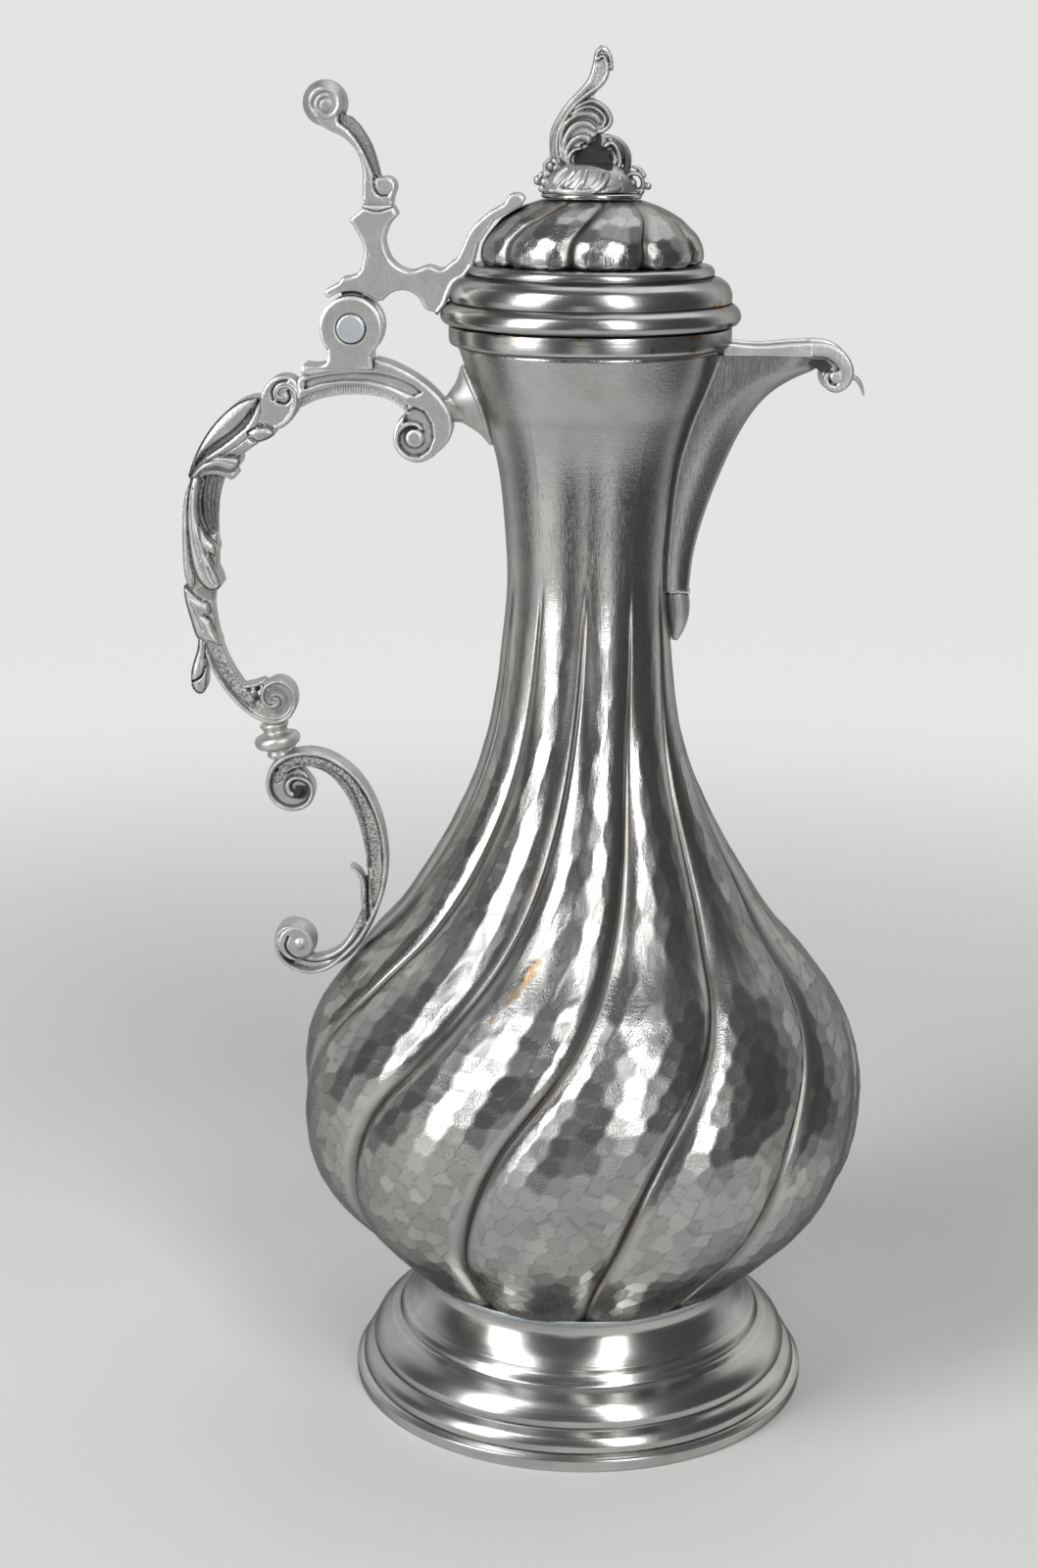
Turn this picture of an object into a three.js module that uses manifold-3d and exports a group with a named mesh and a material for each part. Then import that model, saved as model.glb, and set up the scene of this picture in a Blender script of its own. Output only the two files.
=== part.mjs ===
// Pewter wine jug with a hinged, domed lid: swirled lobed body on a spun foot, cast scroll handle,
// trough spout. Millimetres, +Z up. The body's axis is the Z axis and the foot stands on Z = 0.
// The handle is at -X and the spout at +X, both in the plane Y = 0.
import * as THREE from 'three';
import { mergeVertices } from 'three/addons/utils/BufferGeometryUtils.js';
import { ParametricGeometry } from 'three/addons/geometries/ParametricGeometry.js';
import Module from 'manifold-3d';

const wasm = await Module();
wasm.setup();

// Driving dimensions
const gap = 0.3;              // clearance between touching pieces
const wall = 2;               // thickness of the pewter sheet
const ringFacets = 48;        // facets round the spun rings
const lobes = 11;             // lobes of the body
const lobeFacets = 6;         // facets to each lobe
const lobeDepth = 3;          // how far a groove sinks below a crest
const domeLobes = 9;          // lobes of the lid's dome
const domeLobeDepth = 1.6;
const footRadius = 62.2;
const footTop = 32.4;
const bowlBottom = 34.2;
const seam = 86;              // widest height, where bowl and shoulder are soldered
const neckStart = 176;
const bandBottom = 285;
const bandTop = 290;
const lidSeat = 290.3;
const domeBottom = 305.3;
const domeTop = 321.6;
const hinge = { x: -60.4, z: 289 };
const earRadius = 8;
const knuckleRadius = 6.6;
const pinRadius = 1.9;
const pinHeadRadius = 3.5;
const pinClearance = 0.05;
const hingeWidth = 14;        // over both ears
const knuckleWidth = 5;
const strapWidth = 10;
const archWidth = 11;
const ribWidth = 5;           // crowned middle of the arch's underside
const gripWidth = 12;
const spoutWidth = 14;

// Finishes
const sheet = { color: 0x9c9a94, roughness: 0.35, metalness: 1 };
const cast = { color: 0xa9a8a4, roughness: 0.5, metalness: 1 };

const jug = new THREE.Group();
jug.name = 'jug';

function add(name, geometry, look) {
  geometry.computeVertexNormals();
  const mesh = new THREE.Mesh(geometry, new THREE.MeshStandardMaterial(look));
  mesh.name = name;
  jug.add(mesh);
}

// A smooth curve of value against position through [position, value] pairs.
function along(pairs) {
  const slope = (i) => {
    const [from, to] = [pairs[Math.max(i - 1, 0)], pairs[Math.min(i + 1, pairs.length - 1)]];
    return (to[1] - from[1]) / (to[0] - from[0]);
  };
  return (at) => {
    const place = THREE.MathUtils.clamp(at, pairs[0][0], pairs.at(-1)[0]);
    const i = Math.max(pairs.findIndex((pair) => pair[0] >= place), 1);
    const [[x0, y0], [x1, y1]] = [pairs[i - 1], pairs[i]];
    const [span, t] = [x1 - x0, (place - x0) / (x1 - x0)];
    const start = y0 * (1 + 2 * t) * (1 - t) ** 2 + slope(i - 1) * span * t * (1 - t) ** 2;
    const end = y1 * (3 - 2 * t) * t ** 2 + slope(i) * span * t ** 2 * (t - 1);
    return start + end;
  };
}

// Signed volume of a closed geometry, negative where it faces inward.
function volume(geometry) {
  const place = geometry.getAttribute('position');
  const index = geometry.getIndex().array;
  const corners = [new THREE.Vector3(), new THREE.Vector3(), new THREE.Vector3()];
  let sum = 0;
  for (let i = 0; i < index.length; i += 3) {
    corners.forEach((corner, k) => corner.fromBufferAttribute(place, index[i + k]));
    sum += corners[0].dot(corners[1].cross(corners[2])) / 6;
  }
  return sum;
}

// A closed geometry with shared vertices and no empty triangles that faces outward.
function weld(source) {
  source.deleteAttribute('normal');
  source.deleteAttribute('uv');
  const merged = mergeVertices(source, 1e-3);
  const index = merged.getIndex().array;
  const kept = [];
  for (let i = 0; i < index.length; i += 3) {
    const [a, b, c] = index.slice(i, i + 3);
    if (a !== b && b !== c && a !== c) kept.push(a, b, c);
  }
  merged.setIndex(kept);
  if (volume(merged) < 0) merged.setIndex(kept.reverse());
  return merged;
}

function solid(geometry) {
  const vertProperties = new Float32Array(geometry.getAttribute('position').array);
  const triVerts = new Uint32Array(geometry.getIndex().array);
  return new wasm.Manifold(new wasm.Mesh({ numProp: 3, vertProperties, triVerts }));
}

function surface(shape) {
  const mesh = shape.getMesh();
  const geometry = new THREE.BufferGeometry();
  geometry.setAttribute('position', new THREE.BufferAttribute(new Float32Array(mesh.vertProperties), 3));
  geometry.setIndex(new THREE.BufferAttribute(new Uint32Array(mesh.triVerts), 1));
  return geometry;
}

// A turned piece from a closed outline of [radius, height] points.
function turned(outline, facets = ringFacets) {
  const points = [...outline, outline[0]].map(([r, z]) => new THREE.Vector2(r, z));
  return weld(new THREE.LatheGeometry(points, facets).rotateX(Math.PI / 2));
}

// Points on an arc about [x, z] from one angle to another, in degrees.
function arc([x, z], radius, from, to, steps) {
  return Array.from({ length: steps + 1 }, (_, i) => {
    const angle = THREE.MathUtils.degToRad(from + ((to - from) * i) / steps);
    return [x + radius * Math.cos(angle), z + radius * Math.sin(angle)];
  });
}

// Points on a smooth line through the given ones.
function curve(points, perSpan = 3) {
  const line = new THREE.SplineCurve(points.map(([x, z]) => new THREE.Vector2(x, z)));
  return line.getPoints(perSpan * (points.length - 1)).map((point) => [point.x, point.y]);
}

// A plate of the given width, centred on the plane of the handle; rounded takes that much off its edges.
function plate(outline, width, rounded = 0) {
  const shape = new THREE.Shape(outline.map(([x, z]) => new THREE.Vector2(x, z)));
  const bevel = { bevelThickness: rounded, bevelSize: rounded, bevelOffset: -rounded, bevelSegments: 2 };
  const depth = width - 2 * rounded;
  const slab = new THREE.ExtrudeGeometry(shape, { depth, bevelEnabled: rounded > 0, ...bevel });
  return weld(slab.translate(0, 0, -depth / 2).rotateX(Math.PI / 2));
}

// A round bar across the plane of the handle, crowned in the middle by bulge.
function roll(x, z, radius, width, bulge = 0, facets = 20) {
  const half = width / 2;
  const profile = [[0, -half], [radius, -half], [radius + bulge * 0.75, -half / 2], [radius + bulge, 0],
    [radius + bulge * 0.75, half / 2], [radius, half], [0, half]];
  const points = profile.map(([r, y]) => new THREE.Vector2(r, y));
  return weld(new THREE.LatheGeometry(points, facets).translate(x, 0, z));
}

// A closed surface through sections for t from 0 to 1; a section has a centre and a point for an angle.
function loft(section, rows, sides) {
  const last = rows + 2;
  const skin = (u, v, target) => {
    const row = Math.round(v * last);
    const { centre, at } = section(THREE.MathUtils.clamp((row - 1) / rows, 0, 1));
    target.copy(row === 0 || row === last ? centre : at(2 * Math.PI * (u % 1)));
  };
  return weld(new ParametricGeometry(skin, sides, last));
}

// A bar of rounded section along [x, z, thickness] points in the plane of the handle.
// wide is its size across that plane, against t. The path's own y holds the thickness.
function bar(points, wide, rows, sides = 8) {
  const path = new THREE.CatmullRomCurve3(points.map(([x, z, thick]) => new THREE.Vector3(x, thick, z)));
  const blunt = (value) => Math.sign(value) * Math.abs(value) ** 0.6;
  return loft((t) => {
    const centre = path.getPoint(t);
    const run = path.getTangent(t).setY(0).normalize();
    const half = centre.y / 2;
    centre.y = 0;
    const normal = new THREE.Vector3(-run.z, 0, run.x);
    const at = (angle) => {
      const place = centre.clone().addScaledVector(normal, half * blunt(Math.cos(angle)));
      place.y = (blunt(Math.sin(angle)) * wide(t)) / 2;
      return place;
    };
    return { centre, at };
  }, rows, sides);
}

// Foot
add('foot_ring', turned([[footRadius, 0], [footRadius, 3.4], [60.8, 4.3], [52, 4.3], [52, 0]]), sheet);
const footOutside = [
  ...curve([[60.4, 4.6], [60.2, 6.4], [57.2, 9.2]], 2), ...curve([[57.4, 10.2], [56.8, 13], [52, 17.5]], 3),
  [50, 18], [49.4, 20], ...curve([[47.6, 21.4], [44.2, 26], [42.8, 29], [43, footTop]], 2),
];
const footInside = [
  [38.4, footTop], [38.4, 28.6], [41, 24.8], [45.4, 19.4], [50.6, 15.6], [54.6, 11], [57.4, 4.6],
];
add('foot', turned([...footOutside, ...footInside]), sheet);
add('foot_collar', turned([[42.7, footTop + gap], [42.4, bowlBottom - gap], [37, bowlBottom - gap],
  [37, footTop + gap]]), sheet);

// Body: its radius over the lobes' crests, the turn of the grooves in degrees, and how deep they are
const bodyRadius = along([
  [32, 44], [44, 57], [56, 68.2], [68, 74.6], [84, 77.1], [98, 75.3], [110, 70.1], [122, 61.7], [134, 50.9],
  [146, 42.8], [158, 36], [170, 30.5], [182, 26.6], [194, 24.2], [208, 22.6], [224, 21.3], [240, 22.1],
  [254, 23.8], [266, 27.1], [275, 30.7], [286, 34.6],
]);
const grooveTurn = along([
  [34, -31], [59, -26.4], [91, -16.4], [119, 0.4], [149, 14.8], [193, 27.5], [230, 33],
]);
const grooveShare = along([[34, 0.4], [50, 1], [110, 1], [190, 0.45], [228, 0], [290, 0]]);
const domeTurn = along([[305, -10.5], [312, -9.5], [318, 3], [321.6, 17]]);
const domeShare = along([[305, 1], [318, 0.8], [321.6, 0.3]]);

// Sinks a turned shell between its lobes. Angles are 0 towards -Y and grow towards +X.
function lobed(shell, count, depth, turn, share) {
  const place = shell.getAttribute('position');
  for (let i = 0; i < place.count; i += 1) {
    const [x, y, z] = [place.getX(i), place.getY(i), place.getZ(i)];
    const radius = Math.hypot(x, y);
    const phase = (count / 2) * (Math.atan2(x, -y) - THREE.MathUtils.degToRad(turn(z)));
    const sunk = depth * share(z) * (1 - Math.abs(Math.sin(phase)));
    const scale = radius > 6 ? 1 - sunk / radius : 1;
    place.setXY(i, x * scale, y * scale);
  }
  return shell;
}

// A lobed wall of the body between two heights, with a floor of the same sheet where it is the bowl.
function bodyWall(bottom, top, rows, floor = false) {
  const step = (low, count, i) => low + ((top - low) * i) / count;
  const heights = (low, count) => Array.from({ length: count + 1 }, (_, i) => step(low, count, i));
  const thickness = (z) => wall * Math.hypot(1, (bodyRadius(z + 1) - bodyRadius(z - 1)) / 2);
  const outside = heights(bottom, rows).map((z) => [bodyRadius(z), z]);
  const inside = heights(floor ? bottom + wall : bottom, Math.ceil(rows * 0.7));
  const outline = [...outside, ...inside.map((z) => [bodyRadius(z) - thickness(z), z]).reverse()];
  if (floor) outline.push([0, bottom + wall], [0, bottom]);
  return lobed(turned(outline, lobes * lobeFacets), lobes, lobeDepth, grooveTurn, grooveShare);
}
add('bowl', bodyWall(bowlBottom, seam - gap / 2, 7, true), sheet);
add('shoulder', bodyWall(seam + gap / 2, neckStart - gap / 2, 10), sheet);
const pourHole = solid(weld(new THREE.BoxGeometry(20, 8, 44).translate(28, 0, 257)));
const neckWall = solid(bodyWall(neckStart + gap / 2, bandBottom - gap, 11));
add('neck', surface(neckWall.subtract(pourHole)), sheet);
add('mouth_band', turned([
  [35.2, bandBottom], [36, 286.2], [36, bandTop], [32.4, bandTop], [32.4, bandBottom],
]), sheet);

// The body and the neck as solid blocks a little larger than they are, to cut what is soldered to them
const blockHeights = Array.from({ length: 54 }, (_, i) => 80 + i * 4);
const blockSide = blockHeights.map((z) => [bodyRadius(z) + gap, z]);
const bodyBlock = solid(turned([[0, 80], ...blockSide, [0, 292]], 96));

// Spout: a trough whose V section widens upward, open at the top, with a rim that curls over at the tip
const troughBottom = 221.5;
const troughTop = 282.4;
const spoutFront = along([
  [221, 26.4], [232, 27.6], [244, 30.8], [256, 35.4], [264, 39.2], [270, 43.2], [274, 47.4], [277, 52.4],
  [279.4, 57.6], [283, 59.6],
]);
const spoutHalf = along([[221, 3.6], [250, 5.6], [283, 7]]);
const spoutBlunt = along([[221, 1], [260, 0.9], [276, 0.45], [283, 0.25]]);
function trough(inset, low, high, rows) {
  return solid(loft((t) => {
    const z = low + (high - low) * t;
    const back = bodyRadius(z) - 7;
    const reach = spoutFront(z) - inset * 1.2 - back;
    const half = spoutHalf(z) - inset;
    const at = (angle) => new THREE.Vector3(
      back + reach * Math.max(Math.sin(angle), 0) ** spoutBlunt(z),
      -half * Math.cos(angle),
      z,
    );
    return { centre: new THREE.Vector3(back + reach * 0.3, 0, z), at };
  }, rows, 24));
}
const troughHollow = trough(1.6, troughBottom + 4, troughTop + 6, 12);
const troughShell = trough(0, troughBottom, troughTop, 12).subtract(troughHollow);
add('spout', surface(troughShell.subtract(bodyBlock)), sheet);
const rimTop = curve([[36.5, 286], [43, 285.3], [52, 286.2], [56, 286.4]], 2);
for (const [place, side] of [['near', -1], ['far', 1]]) {
  const rim = plate([...rimTop, [56, 282.7], [36.5, 282.7]], wall);
  add(`spout_rim_${place}`, rim.translate(0, (side * (spoutWidth - wall)) / 2, 0), cast);
}
const voluteOutline = [
  [56.3, 286.4],
  ...curve([[60.4, 286.1], [64, 284], [66.3, 280], [65.8, 276], [62.6, 273.5], [58.6, 275]], 2),
  [60.5, 282.7], [56.3, 282.7],
];
const pourChannel = solid(plate([[50, 283.8], [70, 283.8], [70, 290], [50, 290]], spoutWidth - 2 * wall));
const volute = solid(plate(voluteOutline, spoutWidth)).subtract(pourChannel);
add('spout_volute', surface(volute.subtract(trough(-gap, troughBottom, troughTop + gap, 12))), cast);
const tongueOutline = [
  [66.7, 278.2], ...curve([[67.8, 277.6], [69.4, 275.4], [70.2, 271.8]], 2), [68.4, 274.6], [66.5, 276.6],
];
add('spout_tongue', plate(tongueOutline, 4), cast);
const dropPath = [[23.9, 221, 6.2], [24.4, 216.6, 5.8], [24.1, 212.2, 4.6], [22.9, 207.6, 1.4]];
const drop = solid(bar(dropPath, along([[0, 7.6], [0.5, 5.6], [1, 1.6]]), 6));
add('spout_drop', surface(drop.subtract(bodyBlock)), cast);

// Handle: flange on the neck, arch with its strut scroll, grip, knop and lower scroll
const flangeReach = along([
  [258.8, 0.5], [262, 2.4], [265, 6], [268, 8], [271.5, 7.2], [275, 3.6], [279.6, 0.5],
]);
const flangeHalf = along([[258.8, 0.8], [266, 4.6], [271, 6.4], [276, 4.4], [279.6, 1]]);
const flange = solid(loft((t) => {
  const z = 258.8 + 20.8 * t;
  const root = bodyRadius(z) - 2;
  const at = (angle) => {
    const out = Math.max(Math.sin(angle), 0);
    return new THREE.Vector3(-root - (flangeReach(z) + 2) * out ** 1.6, -flangeHalf(z) * Math.cos(angle), z);
  };
  return { centre: new THREE.Vector3(-root - 0.6, 0, z), at };
}, 8, 16));
const archOutline = [
  ...curve([[-74.2, 276], [-70, 277.2], [-64, 278], [-54.8, 278.4]], 2), [-54.6, 281.2],
  ...curve([
    [-50, 280], [-44, 276.9], [-38.5, 272.4], [-35.2, 267.4], [-35.2, 262], [-38.6, 257.8], [-43.4, 255],
    [-48.2, 257], [-49.8, 261.2], [-46.2, 265.4],
  ], 2),
  ...curve([[-46, 269.4], [-50, 272.2], [-59, 274.3], [-68, 273.5], [-74.2, 270.8]], 2),
];
const archRib = [
  [-73.6, 271.6], ...curve([[-73.6, 268.6], [-68, 270.9], [-59, 271.8], [-51, 270.4], [-46.6, 267.6]], 2),
  [-44, 268], [-46, 270.4], [-52, 273.6], [-59, 275.4], [-68, 274.6],
];
const archShape = (extra) => solid(plate(archOutline, archWidth + extra))
  .add(solid(plate(archRib, ribWidth + extra)));
const arch = archShape(0);
const archBlock = archShape(2 * gap);
add('handle_flange', surface(flange.subtract(bodyBlock).subtract(archBlock)), cast);
add('handle_arch', surface(arch), cast);
const gripPath = [
  [-77.6, 273.2, 6], [-80.4, 268.4, 9], [-86, 264.4, 12], [-92.8, 259.4, 11.4], [-97.9, 251.4, 10],
  [-100.6, 243, 9], [-101.4, 235, 9.2], [-101, 226, 9.8], [-100.8, 217, 7.2], [-99.4, 209, 5.6],
  [-96.4, 201, 5], [-92.2, 194.2, 5], [-87.2, 189.2, 5], [-82.4, 187.8, 4.2], [-78.8, 190.4, 3],
  [-79, 194.6, 2.4], [-82.4, 195.6, 2.4], [-84.4, 192.8, 2],
];
const hangingCurl = [
  [-101.8, 211, 1.6], [-101.3, 206, 3], [-102.2, 200, 3.8], [-102.3, 196, 3.8], [-101.6, 193.6, 2],
];
const grip = solid(bar(gripPath, along([[0, 9], [0.2, gripWidth], [0.6, gripWidth], [1, 10]]), 44, 10))
  .add(solid(bar(hangingCurl, along([[0, 4], [0.5, 7], [1, 5]]), 6)))
  .add(solid(roll(-77.6, 272.2, 4.1, 10, 0.4)))
  .add(solid(roll(-82, 191.8, 4.4, 7)));
add('handle_grip', surface(grip.subtract(archBlock)), cast);
const lowerPath = [
  [-76.4, 169.6, 2.4], [-73.8, 166.8, 2.4], [-75.4, 163.3, 2.4], [-80, 163, 2.8], [-83.2, 168, 3],
  [-80.9, 173.4, 3.2], [-74.6, 175.4, 3.6], [-67.6, 173.2, 4], [-62.2, 167.6, 4.6], [-58.4, 159.8, 5.2],
  [-56.2, 151, 5.6], [-55.6, 144, 5.2], [-56.8, 136, 4.8], [-59.9, 128, 4.4], [-64.8, 121.2, 4],
  [-71.6, 117.6, 3.8], [-78, 118.4, 3.8], [-82, 123.2, 3.4], [-80, 127.8, 2.6], [-76.2, 126.8, 2.4],
];
const lowerBar = solid(bar(lowerPath, along([[0, 7], [0.4, 7], [0.7, 8], [1, 10]]), 44));
const lowerTip = [[-57.2, 137.2, 2.4], [-58.9, 141.8, 2], [-61.9, 144.2, 1]];
const lowerCurl = solid(bar(lowerTip, along([[0, 6], [1, 5]]), 4));
const lowerEyes = solid(roll(-77.4, 124.6, 5, 10.6, 1)).add(solid(roll(-77.4, 167, 3, 6)));
const lowerScroll = lowerBar.add(lowerCurl).add(lowerEyes).subtract(bodyBlock);
add('handle_lower', surface(lowerScroll), cast);
const knopOutline = [
  [0, -5.2], [3.4, -4.6], [3.2, -3], [5.4, -2.2], [6.1, -0.4], [5, 1.2], [3, 2], [2.8, 4], [0, 4.4],
];
const knop = turned(knopOutline, 20).rotateY(-0.18).translate(-81.9, 0, 180.8);
add('handle_knop', knop, cast);

// Hinge: a bracket with two ears soldered on the arch, and the pin with a head at each end
const bracketFoot = curve([[-72.8, 279.8], [-70, 279.4], [-67.4, 279.9], [-66.2, 281.4], [-66.4, 283.4]], 2);
const bracketEar = [
  ...bracketFoot, ...arc([hinge.x, hinge.z], earRadius, 222, -42, 20), [-55.2, 282.4], [-54.9, 278.7],
  ...curve([[-60, 278.5], [-66, 278.1], [-72.6, 276.9]], 2),
];
const slotBottom = arc([hinge.x, hinge.z], knuckleRadius + 0.8, 180, 360, 14);
const slotOutline = [
  [-75, 300], [-75, 281.6], ...slotBottom.filter((point) => point[1] < 281.6), [-45, 281.6], [-45, 300],
];
const bracketSlot = solid(plate(slotOutline, knuckleWidth + 2 * gap));
const pinHole = solid(roll(hinge.x, hinge.z, pinRadius + pinClearance, hingeWidth + 4));
const bracket = solid(plate(bracketEar, hingeWidth)).subtract(bracketSlot);
add('hinge_bracket', surface(bracket.subtract(pinHole)), cast);
const headPlace = hingeWidth / 2 + 0.55;
const head = (side) => solid(roll(hinge.x, hinge.z, pinHeadRadius, 0.7).translate(0, side * headPlace, 0));
const shank = solid(roll(hinge.x, hinge.z, pinRadius, hingeWidth + 1));
add('hinge_pin', surface(shank.add(head(-1)).add(head(1))), cast);

// Lid
const lidOutside = [
  ...curve([[37.2, lidSeat], [38.2, 292.6], [37.4, 294.8], [35.8, 295.7]], 2),
  ...curve([[35.9, 297.4], [34.8, 300.4], [31.4, 302]], 3), ...curve([[31.2, 303.2], [30, 305]], 2),
];
const lidInside = [[26.4, 305], [28.8, 301.4], [32.4, 298.6], [33.6, 295], [35.4, 293.4], [35.4, lidSeat]];
add('lid_rim', turned([...lidOutside, ...lidInside]), sheet);
const domeCrown = domeTop - 0.6;
const domeSide = [[27.6, domeBottom], [28.3, 308.4], [25.4, 313.6], [19.6, 318], [12.7, domeCrown]];
const domeInside = [
  [0, domeTop - 2.4], [11.6, 318.8], [18, 316], [23.2, 312.2], [25.8, 308], [25.4, domeBottom],
];
const dome = turned([...curve(domeSide, 2), [0, domeCrown], ...domeInside], domeLobes * lobeFacets);
add('lid_dome', lobed(dome, domeLobes, domeLobeDepth, domeTurn, domeShare), sheet);
add('lid_flange', turned([
  [32, 285.5], [32, lidSeat + 0.4], [33.2, lidSeat + 1], [33.2, 294], [30.8, 294], [30.8, 285.5],
]), sheet);
const lidBlock = solid(turned([
  [0, 290], [38.5, 290], [38.5, 293.4], [37.8, 295.4], [36.3, 296.2], [36.2, 298.2], [35.1, 300.9],
  [31.8, 302.4], [31.2, 304.6], [28.6, 305.4], [28.7, 308.6], [25.7, 313.9], [19.9, 318.3],
  [12.9, 321.4], [12.9, 323], [0, 323],
], 96));

// Strap: a flat plate from the thumbpiece's foot over the hinge and up the dome, with a knuckle on the pin
const strapBack = [
  [-57.3, 319.4], [-57.4, 318.4], [-60.6, 315.8],
  ...curve([[-59.2, 313.8], [-57, 308.6], [-58.2, 303.2], [-60.4, 301.8], [-62.6, 301.5]], 2),
  [-64, 299.7], [-67.3, 298],
];
const strapUnder = [
  ...arc([hinge.x, hinge.z], earRadius + 1.2, 131, 46, 8),
  ...curve([[-52.4, 295.8], [-50, 297.9], [-46.6, 298.5], [-43.4, 296.8], [-41.6, 293.8], [-38.4, 292.8]], 2),
];
const strapTop = [
  [-30, 304.6], [-24, 316],
  ...curve([[-17.4, 319.4], [-16.6, 321.2], [-18.2, 322.5], [-20.6, 322], [-21.8, 320]], 2),
  ...curve([
    [-25.6, 317.9], [-30.2, 313.6], [-33.4, 307], [-35.2, 305.4], [-37.6, 303.7], [-41, 304.5],
    [-45.6, 303.2], [-50, 305.6], [-51.9, 310.6], [-50.6, 314.8],
  ], 2),
  [-48.6, 317], [-49.9, 319.4],
];
const strapPlate = solid(plate([...strapBack, ...strapUnder, ...strapTop], strapWidth));
const knuckle = solid(roll(hinge.x, hinge.z, knuckleRadius, knuckleWidth, 0, 28))
  .add(solid(plate([[-63, 299], [-63, 292], [-57.8, 292], [-57.8, 299]], knuckleWidth)));
const strap = strapPlate.subtract(lidBlock).add(knuckle).subtract(pinHole);
add('lid_strap', surface(strap), cast);
const thumbOutline = [
  [-57.2, 319.7],
  ...curve([
    [-57.3, 324], [-57.8, 329], [-61, 334.4], [-66.8, 338.2], [-69.8, 341.4], [-70.6, 344.8],
    [-68.6, 347.5], [-65.4, 347.9], [-62.8, 345.8], [-62.6, 342],
  ], 2),
  ...curve([[-58.6, 339.4], [-55.4, 334], [-53.4, 326.4]], 2),
  ...curve([[-51.6, 326], [-49.2, 324.6], [-49.8, 321.6]], 2), [-49.9, 319.7],
];
const thumb = solid(plate(thumbOutline, strapWidth)).add(solid(roll(-66.7, 344.2, 4, archWidth, 1.5)));
add('thumbpiece', surface(thumb), cast);

// Finial: disc, leafy mound with beads, standing plume with its curl
add('finial_disc', turned([[0, domeTop - 0.3], [12.7, domeTop - 0.3], [12.7, 322.6], [0, 322.6]], 32), cast);
const mound = solid(loft((t) => {
  const z = 322.9 + 7 * t;
  const half = 12 * Math.sqrt(1 - 0.75 * t * t);
  const at = (angle) => new THREE.Vector3(half * Math.cos(angle) - 0.5, half * 0.8 * Math.sin(angle), z);
  return { centre: new THREE.Vector3(-0.5, 0, z), at };
}, 5, 20));
const beads = [
  [-12.4, 0, 325.6, 2.2], [-11, 0, 329.4, 1.9], [11.4, 0, 325.4, 2.6], [6, -6.4, 325, 2.2],
  [6, 6.4, 325, 2.2],
];
const ball = ([x, y, z, r]) => solid(weld(new THREE.SphereGeometry(r, 10, 8).translate(x, y, z)));
add('finial_mound', surface(beads.reduce((whole, bead) => whole.add(ball(bead)), mound)), cast);
const plumeOutline = [
  ...curve([
    [-9, 330.2], [-9.4, 334], [-8.6, 338], [-5.8, 343.6], [-1, 348], [0.2, 353], [0.4, 357.2], [2.2, 358.4],
    [4.6, 355.4], [4.8, 351], [1.4, 345.8],
  ], 2),
  ...curve([[4.4, 343.4], [5.4, 340], [3.4, 337.2]], 2), [1.6, 335.4], [1.8, 330.2],
];
add('finial_plume', plate(plumeOutline, 5, 1), cast);
add('finial_curl', plate([...curve([[2.2, 334.2], [4.6, 336.4], [8, 334.4], [9.4, 330.2]], 2),
  ...curve([[5.4, 330.2], [6.2, 332.6], [4.8, 334]], 2)], 6), cast);

export default jug;
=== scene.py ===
# Looks of the pewter wine jug: its fine surfaces, finishes, floor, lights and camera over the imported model.
# Shapes are worked out in millimetres in the frame's own axes, and made in metres.
import math
import bmesh
import bpy
import numpy as np
from mathutils import Matrix, Vector, kdtree


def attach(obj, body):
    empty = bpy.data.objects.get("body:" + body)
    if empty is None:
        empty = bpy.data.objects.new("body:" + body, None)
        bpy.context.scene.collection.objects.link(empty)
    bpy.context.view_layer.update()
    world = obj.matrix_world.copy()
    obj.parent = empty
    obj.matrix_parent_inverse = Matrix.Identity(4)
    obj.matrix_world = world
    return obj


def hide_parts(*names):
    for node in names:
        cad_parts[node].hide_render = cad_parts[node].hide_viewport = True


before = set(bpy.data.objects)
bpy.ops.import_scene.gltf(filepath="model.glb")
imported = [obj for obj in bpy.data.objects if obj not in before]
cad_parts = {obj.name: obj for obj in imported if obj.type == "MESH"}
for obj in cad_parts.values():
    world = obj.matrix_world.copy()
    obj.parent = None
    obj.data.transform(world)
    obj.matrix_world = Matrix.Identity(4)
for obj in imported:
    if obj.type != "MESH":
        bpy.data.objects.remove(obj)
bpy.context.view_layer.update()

mm = 0.001
weld = 2e-6
draw = np.random.default_rng(11)
print("stage: frame loaded")


# Node graphs: a wire carries a socket, and the usual signs add the maths nodes
class Wire:
    def __init__(self, graph, socket):
        self.graph, self.socket = graph, socket

    def maths(self, operation, *others):
        return self.graph.calculate(operation, self, *others)

    def __add__(self, other):
        return self.maths("ADD", other)

    def __sub__(self, other):
        return self.maths("SUBTRACT", other)

    def __rsub__(self, other):
        return self.graph.calculate("SUBTRACT", other, self)

    def __mul__(self, other):
        return self.maths("MULTIPLY", other)

    def __truediv__(self, other):
        return self.maths("DIVIDE", other)

    def __pow__(self, other):
        return self.maths("POWER", other)

    __radd__ = __add__
    __rmul__ = __mul__

    def fade(self, start, end):
        return self.graph.make("ShaderNodeMapRange", {"interpolation_type": "SMOOTHSTEP"},
                               {"Value": self, "From Min": start, "From Max": end})


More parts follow.
